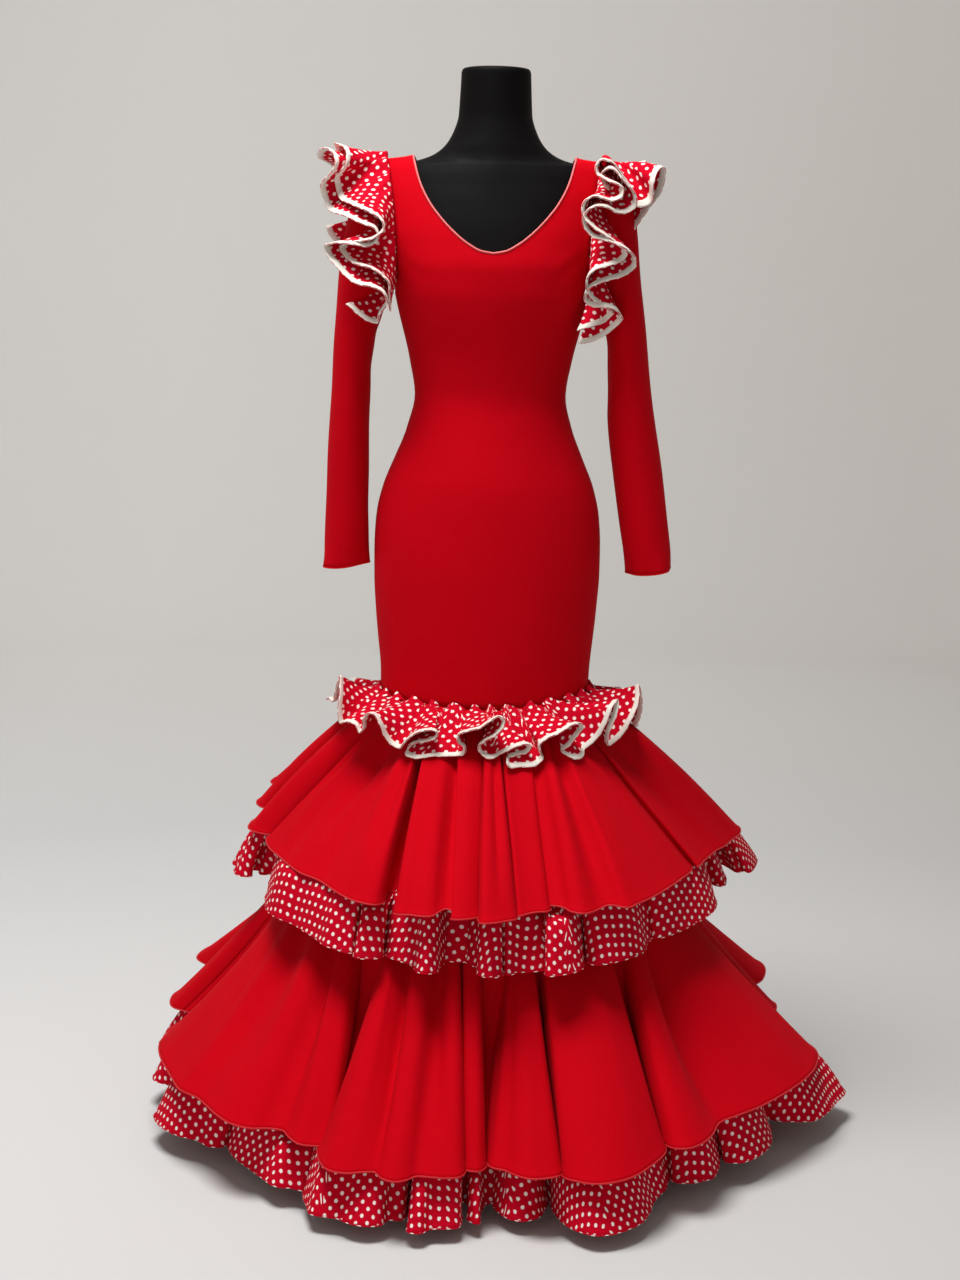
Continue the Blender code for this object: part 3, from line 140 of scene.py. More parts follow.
TIER_2 = (
    (-180, -180, 442, 160), (-172.4, -173, 535, 160), (-168.4, -167, 545, 160), (-160, -159, 444, 157),
    (-152.1, -152, 542, 156), (-148.2, -146, 550, 155), (-140, -139.5, 444, 150), (-131.7, -134, 540, 149),
    (-127, -128, 560, 148), (-122, -122, 548, 142), (-112, -116.5, 440, 136), (-104.4, -111, 486, 130),
    (-98, -105, 500, 126), (-92.9, -100, 488, 122), (-86, -96, 436, 119), (-80.2, -91, 462, 117),
    (-74, -85, 476, 115), (-68, -61.9, 495, 112), (-63.9, -57.2, 502, 111), (-60, -52.6, 496, 110),
    (-56.8, -48.1, 502, 108), (-54, -44.3, 510, 106), (-51.3, -40.9, 513, 104), (-49, -38, 504, 102),
    (-46.8, -36.1, 486, 101), (-45, -33.9, 478, 100), (-43.5, -30.8, 492, 98), (-42.5, -28.4, 500, 96),
    (-41, -26.4, 490, 94), (-39.8, -24.6, 481, 93), (-38, -25.4, 456, 92), (-34, -32.3, 428, 92),
    (-29, -29.5, 430, 92), (-26, -25.8, 493, 91), (-25, -22.9, 531, 90), (-24.6, -20.4, 552, 90),
    (-24, -18.2, 551, 89), (-23.4, -16.1, 540, 89), (-21.5, -14.6, 533, 88), (-17, -12.6, 551, 87),
    (-15, -11.3, 554, 86), (-14, -9.9, 545, 86), (-12.5, -8.6, 528, 86), (-10.8, -6.6, 528, 86), (-9, -4.4, 526, 85),
    (-7, -2.6, 521, 85), (-6, -1.7, 499, 85), (-5.6, -1.9, 473, 85), (-5.2, -1.2, 495, 85), (-2, 0.2, 499, 85),
    (0, 1.3, 483, 85), (1.6, 2, 428, 85), (4, 2.9, 428, 85), (7, 2, 428, 85), (9.4, 2, 464, 85), (10, 2.9, 486, 85),
    (10.7, 4.5, 493, 85), (11.6, 6.1, 512, 85), (12.4, 7.8, 525, 85), (13.2, 10, 526, 85), (13.6, 11.8, 524, 86),
    (14.6, 13.9, 487, 86), (16, 15.7, 429, 86), (17.4, 13.6, 494, 86), (18.5, 13.1, 533, 86), (21, 14.1, 548, 87),
    (23.9, 15.5, 560, 87), (27, 17.4, 567, 88), (29.3, 19.6, 566, 89), (32, 22, 558, 90), (34.2, 24.6, 544, 92),
    (36.5, 27.2, 528, 93), (38.5, 29.9, 510, 94), (41, 37, 432, 95), (43.5, 44.4, 428, 96), (46, 36.1, 440, 96),
    (47.4, 32.1, 492, 96), (48.5, 32.2, 509, 97), (49.5, 33.6, 519, 98), (50.4, 35.5, 519, 99),
    (51.5, 37.7, 513, 100), (52.4, 40.5, 501, 101), (54, 45.2, 480, 103), (55.6, 48.6, 483, 104),
    (58, 53.3, 490, 106), (62, 59.3, 496, 108), (65.9, 64.7, 503, 110), (70, 70.4, 511, 112), (75, 75.6, 516, 113),
    (80, 88.5, 498, 115), (83, 92, 470, 116), (87, 95.5, 436, 118), (95.5, 101, 470, 122), (104, 107, 492, 127),
    (110, 111.5, 446, 131), (116.9, 117, 520, 139), (123, 124, 560, 146), (127.8, 130, 540, 149),
    (136, 135, 444, 151), (143.1, 141, 540, 153), (147, 147, 552, 155), (155, 154, 446, 157), (155.1, 161, 535, 159),
    (155.1, 168, 547, 160),
)
DOTS_1 = (
    (-180, -180, 350, 380), (-172.4, -174, 425, 380), (-170.5, -169, 425, 380), (-164.1, -164, 352, 380),
    (-156.4, -158, 430, 379), (-154.5, -153, 428, 378), (-148, -148, 350, 376), (-140.4, -142, 428, 374),
    (-138.5, -137, 424, 373), (-131.9, -132, 348, 370), (-124.5, -126, 416, 367), (-122.5, -121, 412, 364),
    (-115.8, -116, 338, 360), (-107.6, -109, 398, 354), (-104.4, -103, 396, 352), (-98.3, -98, 332, 351),
    (-96.4, -98.5, 382, 352), (-95.1, -93.3, 367, 350), (-95.1, -93.1, 356, 350), (-95.1, -99.7, 357, 350),
    (-95.1, -102.1, 350, 350), (-95.1, -96.3, 338, 349), (-95.1, -97.1, 329, 349), (-89, -87.1, 319, 348),
    (-71.8, -72.4, 333, 347), (-58.2, -60.6, 349, 345), (-55, -55.3, 350, 344), (-52.9, -52.4, 344, 342),
    (-44.7, -45.1, 350, 339), (-38.9, -39.7, 357, 336), (-35.2, -35.6, 369, 334), (-33.3, -32.3, 369, 332),
    (-32.3, -29.6, 370, 331), (-32.3, -32.9, 331, 330), (-32.3, -38.4, 318, 329), (-27.3, -29.7, 358, 328),
    (-26.1, -26.7, 374, 327), (-25.6, -25.1, 367, 326), (-25.1, -23.5, 359, 326), (-24.7, -24, 331, 325),
    (-24.7, -28.1, 318, 325), (-24.7, -34.3, 318, 325), (-23, -25, 318, 324), (-19.1, -21.1, 341, 324),
    (-17.8, -18.7, 347, 323), (-16.3, -16.2, 354, 323), (-15.3, -14.7, 360, 322), (-12.9, -12.8, 384, 322),
    (-11.7, -10.9, 393, 322), (-10.8, -9.4, 382, 321), (-9.6, -8.9, 352, 321), (-9.3, -9.3, 318, 321),
    (-9.3, -11.1, 318, 321), (-6.8, -7.5, 318, 320), (-5.1, -5.9, 320, 320), (-4.7, -3.9, 318, 320),
    (-3.3, -2.2, 318, 320), (-2.5, -2.5, 318, 320), (-2.5, -2.7, 318, 320), (0.3, -0.6, 345, 320),
    (1.9, 0.1, 381, 320), (2.9, 2.1, 392, 320), (3.8, 3.9, 387, 320), (5.7, 5.1, 364, 320), (7, 5.9, 378, 320),
    (8.1, 7.5, 371, 320), (9.3, 9.6, 365, 320), (10.6, 12.3, 365, 320), (11.6, 14.3, 363, 321),
    (18.7, 18.6, 318, 321), (20.7, 21.5, 318, 321), (20.7, 15.9, 346, 321), (20.7, 14.5, 395, 321),
    (20.7, 16.6, 394, 322), (20.7, 19, 389, 322), (20.7, 21.2, 381, 323), (23.7, 24.6, 348, 323),
    (26.9, 28.3, 318, 324), (26.9, 25, 353, 324), (27.5, 25.6, 370, 324), (28.7, 28, 375, 325),
    (31.1, 31.5, 373, 326), (34.1, 35.1, 372, 328), (37.8, 39.1, 363, 329), (42.9, 44.4, 339, 331),
    (51.2, 53.5, 318, 331), (51.2, 49.1, 319, 332), (51.2, 47.9, 340, 334), (51.6, 51, 346, 335),
    (55, 55.6, 349, 337), (60.3, 60.9, 351, 339), (66, 66.6, 356, 342), (73, 73.4, 360, 344), (79.9, 80.6, 357, 346),
    (91.6, 90.3, 343, 347), (94.4, 95.7, 357, 348), (95.2, 93.8, 369, 348), (97.2, 98.4, 381, 348),
    (108.6, 107.7, 398, 349), (110.1, 112.7, 415, 349), (110.1, 109.4, 415, 350), (110.1, 104.8, 418, 350),
    (110.1, 107.1, 442, 351), (110.9, 112.2, 476, 352), (110.9, 103, 426, 352), (110.9, 108, 420, 353),
    (114.1, 114, 340, 358), (120.5, 119, 424, 362), (123.7, 125, 438, 366), (132.3, 132, 352, 370),
    (138.6, 137, 424, 373), (140.6, 142, 430, 375), (148.2, 148, 352, 376), (154.6, 153, 426, 377),
    (156.6, 158, 430, 379), (164.2, 164, 354, 380), (170.6, 169, 424, 380), (172.4, 174, 425, 380),
)
DOTS_2 = (
    (-180, -180, 452, 75), (-173.9, -175, 535, 75), (-171.2, -170, 545, 75), (-165, -165, 454, 74),
    (-158.9, -160, 545, 73), (-155.6, -154.5, 550, 71), (-149, -149, 454, 70), (-142.3, -143.5, 545, 69),
    (-139.7, -138.5, 550, 67), (-133.5, -133.5, 452, 65), (-128.1, -129, 545, 63), (-123.9, -123, 556, 60),
    (-116.9, -117, 448, 54), (-110, -111, 520, 48), (-106, -105, 524, 44), (-98.2, -99, 442, 41),
    (-93.8, -94, 484, 41), (-87.3, -87, 494, 40), (-82.2, -81.5, 450, 39), (-66.9, -68.5, 505, 37),
    (-63.1, -63.5, 506, 37), (-58.5, -59.1, 495, 36), (-55.1, -55.7, 480, 36), (-53.1, -52, 475, 35),
    (-52.9, -51.2, 466, 35), (-52.9, -53.8, 442, 34), (-52.9, -57.8, 440, 34), (-50.3, -51, 453, 34),
    (-46.1, -46.3, 469, 33), (-41.6, -41.5, 479, 32), (-35.6, -36.4, 492, 31), (-32, -32.3, 503, 30),
    (-31, -30.7, 492, 28), (-30.4, -28.6, 490, 27), (-30.4, -30.6, 450, 26), (-30.4, -34.6, 440, 26),
    (-30.3, -30.4, 455, 25), (-27, -27.8, 500, 25), (-24.4, -25.3, 528, 25), (-22.1, -23.1, 550, 24),
    (-20.8, -21.2, 549, 24), (-19.4, -19.4, 546, 23), (-17.3, -17.2, 556, 23), (-15.3, -15, 558, 23),
    (-13.7, -13.2, 546, 22), (-12.5, -12.7, 526, 22), (-11.9, -10.9, 523, 22), (-11.3, -10.6, 501, 21),
    (-11.1, -11.6, 460, 21), (-9.1, -9.7, 517, 21), (-7.4, -8.5, 558, 20), (-7, -7.6, 558, 20), (-6.1, -6.5, 541, 20),
    (-5.1, -4.6, 537, 20), (-4.2, -2.8, 533, 20), (-2.9, -2.1, 500, 20), (-2.1, -2.2, 440, 20), (-1.9, -2, 440, 20),
    (-1.1, -1.2, 451, 20), (-0.1, -0.6, 509, 20), (0.1, 0.2, 516, 20), (1, 0.8, 478, 20), (2.1, 2.1, 446, 20),
    (3.2, 3.2, 440, 20), (3.8, 4.3, 440, 20), (4.2, 3.9, 440, 20), (5.4, 4.2, 481, 20), (6.3, 5.4, 499, 20),
    (7.1, 7.1, 508, 20), (8.2, 9.2, 501, 20), (10, 11.1, 476, 20), (14.1, 13.7, 440, 20), (15.3, 16.1, 440, 21),
    (15.3, 14.5, 444, 21), (15.3, 12.9, 502, 21), (15.3, 13.3, 530, 21), (15.3, 14.4, 558, 22), (16.5, 15.9, 575, 22),
    (17.9, 17.9, 577, 22), (20.1, 20.6, 570, 23), (22.7, 23.3, 557, 24), (26, 26.1, 530, 25), (29.6, 29.1, 499, 26),
    (32.7, 32.8, 478, 27), (35.2, 36.1, 454, 28), (43.1, 42, 440, 29), (45.2, 46.9, 440, 30), (45.2, 39.5, 440, 30),
    (45.2, 36.1, 469, 30), (45.2, 37.1, 484, 31), (45.2, 39.3, 490, 31), (45.2, 41.4, 493, 32), (45.2, 44.9, 478, 33),
    (50.4, 50.4, 450, 34), (50.7, 52.5, 445, 34), (50.7, 48.8, 471, 34), (50.7, 49.5, 486, 35), (52.2, 52.4, 493, 35),
    (55.8, 56.4, 493, 36), (60.4, 60.9, 486, 36), (67.3, 66.7, 469, 37), (71.4, 72.1, 456, 37), (72, 71.5, 473, 38),
    (72.6, 72.2, 494, 38), (73.7, 73.5, 518, 38), (77.2, 77.6, 534, 39), (82.5, 82.7, 547, 39), (87.8, 88.2, 562, 40),
    (93.4, 93.5, 520, 41), (97.1, 97, 462, 41), (102.8, 102, 520, 43), (107.1, 108, 528, 47), (114, 114, 448, 52),
    (120.7, 120, 560, 57), (126.5, 127, 570, 62), (133.1, 133, 452, 65), (139.1, 138, 545, 67), (143.2, 144, 550, 69),
    (149.1, 149, 454, 70), (155.1, 154, 545, 71), (159.2, 160, 550, 73), (165.1, 165, 454, 74), (171.3, 170, 545, 74),
    (173.9, 175, 540, 75),
)
TIER_2_TOP = 0.3900
DOTS_1_TOP, DOTS_2_TOP = 0.4480, 0.1620
LAYER_GAP = 0.006
LAYER_BLEND = 0.004  # how softly a layer gives way to the one over or under it
FRONT, BACK = -1, 1


# ---- Helpers -------------------------------------------------------------------------------------
def hermite(keys, values, tangents):
    """The cubic curve through values, or rows of values, with these tangents. Keys may be arrays."""
    steps = np.diff(keys)

    def value(key):
        key = np.clip(np.asarray(key, float), keys[0], keys[-1])
        i = np.clip(np.searchsorted(keys, key, side="right") - 1, 0, len(steps) - 1)
        h = steps[i]
        t = (key - keys[i]) / h
        if values.ndim > 1:
            t, h = t[..., None], h[..., None]
        start = (1 + 2 * t) * (1 - t) ** 2 * values[i] + t * (1 - t) ** 2 * h * tangents[i]
        end = t * t * (3 - 2 * t) * values[i + 1] + t * t * (t - 1) * h * tangents[i + 1]
        return start + end

    return value


def smooth(keys, values):
    """A curve through the values that never overshoots them."""
    keys, values = np.array(keys, float), np.array(values, float)
    steps = np.diff(keys)
    slopes = np.diff(values) / steps
    tangents = np.zeros_like(values)
    tangents[0], tangents[-1] = slopes[0], slopes[-1]
    for i in range(1, len(keys) - 1):
        if slopes[i - 1] * slopes[i] > 0:
            before, after = 2 * steps[i] + steps[i - 1], steps[i] + 2 * steps[i - 1]
            tangents[i] = (before + after) / (before / slopes[i - 1] + after / slopes[i])
    return hermite(keys, values, tangents)


def curves(columns, rows):
    keys = [row[0] for row in rows]
    return {name: smooth(keys, [row[k] for row in rows]) for k, name in enumerate(columns)}


def rounded(keys, values):
    """A rounded curve through rows of values."""
    h = np.diff(keys)
    slopes = np.diff(values, axis=0) / h[:, None]
    tangents = np.empty_like(values)
    weight = (h[1:] / (h[1:] + h[:-1]))[:, None]
    tangents[1:-1] = slopes[:-1] * weight + slopes[1:] * (1 - weight)
    tangents[0], tangents[-1] = slopes[0], slopes[-1]
    return hermite(keys, values, tangents)


def mix(a, b, share):
    return a + (b - a) * share


def stack(x, y, z):
    return np.stack(np.broadcast_arrays(x, y, z), axis=-1).astype(float)


def scaled(rows, *units):
    """The rows of a table, each column divided by its unit."""
    return np.array(rows, float) / units


def on_ring(turn, radius, z):
    """Points at an azimuth in radians, a distance from the middle and a height."""
    return stack(radius * np.sin(turn), -radius * np.cos(turn), z)


def polar(points):
    """Azimuths in degrees and distances from the middle."""
    x, y = points[..., 0], points[..., 1]
    return np.degrees(np.arctan2(x, -y)), np.hypot(x, y)


def widen(points, wanted, radius):
    """Moves points out or in from a radius to the wanted one."""
    points[..., :2] *= (wanted / radius)[..., None]
    return points


def unit(vectors):
    return vectors / np.maximum(np.linalg.norm(vectors, axis=-1, keepdims=True), 1e-12)


def soft_min(a, b, k=0.002):
    share = np.clip(0.5 + 0.5 * (b - a) / k, 0, 1)
    return mix(b, a, share) - k * share * (1 - share)


def soft_max(a, b, k=0.002):
    return -soft_min(-a, -b, k)


def wobble(seed, *coordinates):
    """Smooth unevenness between -1 and 1, a sum of a few sines with odd wavelengths."""
    rng = np.random.default_rng(seed)
    total = 0.0
    for octave in range(4):
        phase = rng.uniform(0, 2 * math.pi)
        argument = phase
        for coordinate in coordinates:
            argument = argument + coordinate * rng.uniform(0.7, 1.6) * (1.0 + 0.75 * octave)
        total = total + np.sin(argument) / (1.0 + 0.5 * octave)
    return total / 2.6


def grid_normals(points, ring=False):
    if ring:
        wide = np.concatenate([points[-2:-1], points, points[1:2]])
        across = np.gradient(wide, axis=0)[1:-1]
    else:
        across = np.gradient(points, axis=0)
    up = np.gradient(points, axis=1)
    return unit(np.cross(across, up))


def arc_lengths(points, axis):
    """Running length along one axis of a grid, starting at 0."""
    steps = np.linalg.norm(np.diff(points, axis=axis), axis=-1)
    zeros = np.zeros_like(np.take(steps, [0], axis=axis))
    return np.cumsum(np.concatenate([zeros, steps], axis=axis), axis=axis)


# ---- Building meshes -----------------------------------------------------------------------------
def make_object(name, vertices, faces, material, uv=None, body=DRESS):
    """A mesh object. uv has one entry for each corner of each face, in metres of cloth."""
    mesh = bpy.data.meshes.new(name)
    vertices = np.asarray(vertices, float).reshape(-1, 3)
    mesh.from_pydata(vertices.tolist(), [], [list(map(int, f)) for f in faces])
    if uv is not None:
        layer = mesh.uv_layers.new(name="cloth")
        layer.data.foreach_set("uv", np.asarray(uv, np.float32).ravel())
    mesh.materials.append(material)
    mesh.shade_smooth()
    mesh.update()
    obj = bpy.data.objects.new(name, mesh)
    bpy.context.scene.collection.objects.link(obj)
    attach(obj, body)
    return obj


def grid_faces(columns, rows, flip):
    """Corner indices (column, row) of a grid's faces."""
    i, j = np.meshgrid(np.arange(columns - 1), np.arange(rows - 1), indexing="ij")
    i, j = i.ravel(), j.ravel()
    corners = [(i, j), (i + 1, j), (i + 1, j + 1), (i, j + 1)]
    if flip:
        corners.reverse()
    column = np.stack([c[0] for c in corners], axis=1)
    row = np.stack([c[1] for c in corners], axis=1)
    return column, row


def sheet(name, points, uv, material, flip=False, wrap=False):
    """A thin shell on both sides of a grid of points [column, row]. uv holds a place for each point,
    or for both sides of each column of cells. wrap joins the last column to the first."""
    columns, rows = points.shape[:2]
    column, row = grid_faces(columns, rows, flip)
    cell = column.min(axis=1)[:, None]
    corner_uv = uv[column, row] if uv.ndim == 3 else uv[cell, row, column - cell]
    if wrap:
        points = points[:-1]
        column = column % (columns - 1)
    obj = make_object(name, points, column * rows + row, material, corner_uv)
    solid = obj.modifiers.new("thickness", "SOLIDIFY")
    solid.thickness = SHELL
    solid.offset = 0.0
    solid.use_rim = True
    return obj


def ring_faces(count, sides, closed=False, flip=False):
    """Faces of a tube of count rings, capped at both ends unless it closes on itself."""
    faces = []
    for a in range(count if closed else count - 1):
        b = (a + 1) % count
        for q in range(sides):
            p = (q + 1) % sides
            face = (a * sides + q, a * sides + p, b * sides + p, b * sides + q)
            faces.append(face[:1] + face[:0:-1] if flip else face)
    if not closed:
        caps = [tuple(range(sides))[::-1], tuple((count - 1) * sides + q for q in range(sides))]
        faces += [cap[::-1] for cap in caps] if flip else caps
    return faces


CORD_GIRTH = 6.28  # cloth round a cord, in radii


def tube(name, path, side, material, radius, sides=6):
    """A round cord along a closed path. side is a direction across it at each point."""
    along = unit(np.roll(path, -1, axis=0) - np.roll(path, 1, axis=0))
    side = unit(side - along * np.sum(side * along, axis=-1, keepdims=True))
    over = np.cross(along, side)
    turn = np.linspace(0, 2 * math.pi, sides, endpoint=False)[None, :, None]
    ring = path[:, None] + side[:, None] * (np.cos(turn) * radius) + over[:, None] * (np.sin(turn) * radius)
    faces = ring_faces(len(path), sides, closed=True)
    length = arc_lengths(path[:, None], 0)[:, 0]
    uv = [(length[k // sides], (k % sides) / sides * radius * CORD_GIRTH) for face in faces for k in face]
    return make_object(name, ring, faces, material, uv)


# Along a stitch: where, how thick and how high. Across it: its three corners.
STITCH_SECTIONS = ((-0.5, 0.35, -0.7), (-0.3, 1.0, 0.35), (0.3, 1.0, 0.35), (0.5, 0.35, -0.7))
STITCH_CORNERS = ((1, -0.5), (0, 1), (-1, -0.5))


def stitches(name, runs, material, length=0.0024, pitch=0.0034, radius=0.00022):
    """Short stitches along runs of (path, normal), joined in one mesh."""
    vertices, faces = [], []
    one = ring_faces(len(STITCH_SECTIONS), len(STITCH_CORNERS))
    for path, normal in runs:
        lengths = arc_lengths(path[:, None], 0)[:, 0]
        count = max(2, int(lengths[-1] / pitch))
        at = (np.arange(count) + 0.5) * lengths[-1] / count
        middle, up = (np.stack([np.interp(at, lengths, f[:, k]) for k in range(3)], axis=-1) for f in (path, normal))
        along = unit(np.gradient(middle, axis=0))
        up = unit(up)
        for p, t, n, s in zip(middle, along, up, np.cross(along, up)):
            base = len(vertices)
            for where, size, lift in STITCH_SECTIONS:
                centre = p + t * (where * length) + n * (lift * radius)
                for a, b in STITCH_CORNERS:
                    vertices.append(centre + s * (a * radius * size) + n * (b * radius * size))
            faces += [tuple(base + k for k in face) for face in one]
    return make_object(name, vertices, faces, material)


# ---- Materials -----------------------------------------------------------------------------------
def new_material(name, roughness, sheen=0.0, sheen_tint=(1, 1, 1), metallic=0.0, specular=0.5):
    material = bpy.data.materials.new(name)
    material.use_nodes = True
    shader = material.node_tree.nodes["Principled BSDF"]
    for socket, value in (
        ("Roughness", roughness),
        ("Metallic", metallic),
        ("Specular IOR Level", specular),
        ("Sheen Weight", sheen),
        ("Sheen Roughness", 0.45),
        ("Sheen Tint", (*sheen_tint, 1)),
    ):
        shader.inputs[socket].default_value = value
    return material, material.node_tree, shader


def node(tree, kind, inputs=(), **settings):
    made = tree.nodes.new(kind)
    for key, value in settings.items():
        setattr(made, key, value)
    for key, value in dict(inputs).items():
        if isinstance(value, bpy.types.NodeSocket):
            tree.links.new(value, made.inputs[key])
        else:
            made.inputs[key].default_value = value
    return made


def math_node(tree, operation, a, b=0.0, c=0.0):
    return node(tree, "ShaderNodeMath", {0: a, 1: b, 2: c}, operation=operation).outputs[0]


def blend_colours(tree, share, a, b):
    made = node(tree, "ShaderNodeMix", {0: share}, data_type="RGBA")
    for index, colour in ((6, a), (7, b)):
        if isinstance(colour, bpy.types.NodeSocket):
            tree.links.new(colour, made.inputs[index])
        else:
            made.inputs[index].default_value = (*colour, 1)
    return made.outputs[2]


def noise(tree, vector, scale, detail=2.0, roughness=0.5):
    inputs = {"Vector": vector, "Scale": scale, "Detail": detail, "Roughness": roughness}
    return node(tree, "ShaderNodeTexNoise", inputs).outputs["Fac"]


def add_bump(tree, shader, height, distance):
    bump = node(tree, "ShaderNodeBump", {"Height": height, "Distance": distance, "Strength": 0.5})
    tree.links.new(bump.outputs[0], shader.inputs["Normal"])


def weave_height(tree, cloth_uv):
    """Over-and-under threads, from the cloth's own UV map."""
    parts = node(tree, "ShaderNodeSeparateXYZ", {0: cloth_uv}).outputs
    turn = THREADS_PER_METRE * math.pi
    warp, weft = (math_node(tree, "SINE", math_node(tree, "MULTIPLY", part, turn)) for part in parts[:2])
    return math_node(tree, "MULTIPLY", warp, weft)


def cloth_material(name, light, dark, roughness, dots=None):
    """Crepe or cotton: two shades, a pebbled weave and an optional print of small round dots."""
    material, tree, shader = new_material(name, roughness, 0.03, (1.0, 0.1, 0.15), specular=0.05)
    place = node(tree, "ShaderNodeTexCoord").outputs["Object"]
    cloth_uv = node(tree, "ShaderNodeUVMap", uv_map="cloth").outputs[0]
    shade = math_node(tree, "MULTIPLY_ADD", noise(tree, place, 9.0, 3.0), 0.9, 0.05)
    colour = blend_colours(tree, shade, dark, light)
    if dots is not None:
        colour = blend_colours(tree, dot_print(tree, cloth_uv, dots), colour, dots["colour"])
    grain = noise(tree, place, 1500.0, 2.0, 0.6)
    height = math_node(tree, "MULTIPLY_ADD", weave_height(tree, cloth_uv), 0.35, grain)
    tree.links.new(colour, shader.inputs["Base Color"])
    add_bump(tree, shader, height, 0.00012)
    return material


def dot_print(tree, cloth_uv, dots):
    """Round dots on a staggered lattice, with slightly soft, uneven edges."""
    parts = node(tree, "ShaderNodeSeparateXYZ", {0: cloth_uv}).outputs
    nearest = None
    for shift in (0.0, 0.5):
        squares = None
        for axis in (0, 1):
            cell = math_node(tree, "MULTIPLY_ADD", parts[axis], 1 / dots["pitch"], shift)
            off = math_node(tree, "SUBTRACT", math_node(tree, "FRACT", cell), 0.5)
            square = math_node(tree, "MULTIPLY", off, off)
            squares = square if squares is None else math_node(tree, "ADD", squares, square)
        far = math_node(tree, "SQRT", squares)
        nearest = far if nearest is None else math_node(tree, "MINIMUM", nearest, far)
    edge = dots["radius"] / dots["pitch"]
    uneven = math_node(tree, "MULTIPLY_ADD", noise(tree, cloth_uv, 420.0, 1.0), 0.05, nearest)
    inputs = {"Value": uneven, "From Min": edge + 0.04, "From Max": edge + 0.01}
    return node(tree, "ShaderNodeMapRange", inputs).outputs[0]


def plain_material(name, colour, roughness, shade=0.8, grain=1400.0, **more):
    """One colour with a slight unevenness and a fine grain."""
    material, tree, shader = new_material(name, roughness, **more)
    place = node(tree, "ShaderNodeTexCoord").outputs["Object"]
    dark = tuple(c * shade for c in colour)
    share = noise(tree, place, 30.0, 3.0)
    tree.links.new(blend_colours(tree, share, dark, colour), shader.inputs["Base Color"])
    rough = math_node(tree, "MULTIPLY_ADD", noise(tree, place, 90.0, 2.0), 0.16, roughness - 0.08)
    tree.links.new(rough, shader.inputs["Roughness"])
    add_bump(tree, shader, noise(tree, place, grain, 2.0), 0.0001)
    return material


THREADS_PER_METRE = 1700.0
DOTS = {"pitch": 0.0184, "radius": 0.0027, "colour": (0.97, 0.83, 0.79)}
red = cloth_material("red_crepe", (0.60, 0.0, 0.007), (0.51, 0.0, 0.006), 0.85)
dotted = cloth_material("dotted_cotton", (0.60, 0.001, 0.018), (0.52, 0.001, 0.015), 0.8, DOTS)
hem_thread = plain_material("hem_thread", (0.66, 0.004, 0.012), 0.7)
white = plain_material("white_binding", (0.86, 0.80, 0.72), 0.75, shade=0.92, sheen=0.2)
white_thread = plain_material("white_thread", (0.80, 0.76, 0.70), 0.6)
red_thread = plain_material("red_thread", (0.45, 0.002, 0.01), 0.6)
piping = plain_material("neck_piping", (0.85, 0.16, 0.16), 0.6)
black = plain_material("form_black", (0.0042, 0.0036, 0.0036), 0.6, grain=900.0, specular=0.06)
metal = plain_material("stand_metal", (0.045, 0.045, 0.05), 0.42, grain=300.0, metallic=0.6)
enamel = plain_material("zip_enamel", (0.42, 0.004, 0.012), 0.35, grain=300.0)

# ---- Body, armholes and neckline -----------------------------------------------------------------
body = curves(BODY_COLUMNS, BODY)
armhole = curves(ARMHOLE_COLUMNS, ARMHOLE)
neckline = curves(NECKLINE_COLUMNS, NECKLINE)


def section_depth(x, z, side, inset=0.0):
    """How far the body's front or back stands from the middle plane at x and z."""
    half = body["half_width"](z) - inset
    depth = body["front" if side == FRONT else "back"](z) - inset
    share = np.minimum(np.abs(x) / half, 1.0)
    power = body["power"](z)
    return depth * np.maximum(1 - share**power, 0.0) ** (1 / power)


def body_ring(angle, z, inset=0.0):
    """Points of the body's section at height z; the angle runs from the front, in radians."""
    power = body["power"](z)
    s, c = np.sin(angle), np.cos(angle)
    half = body["half_width"](z) - inset
    depth = np.where(c > 0, body["front"](z), body["back"](z)) - inset
    x = half * np.sign(s) * np.abs(s) ** (2 / power)
    y = -depth * np.sign(c) * np.abs(c) ** (2 / power)
    return stack(x, y, z)


def shoulder_height(x):
    """The height of the shoulder line at x, where front and back meet."""
    low = np.full_like(np.asarray(x, float), SHOULDER_BAND[0])
    high = np.full_like(low, SHOULDER_BAND[1])
    for _ in range(40):
        middle = (low + high) / 2
        wider = body["half_width"](middle) > np.abs(x)
        low, high = np.where(wider, middle, low), np.where(wider, high, middle)
    return low


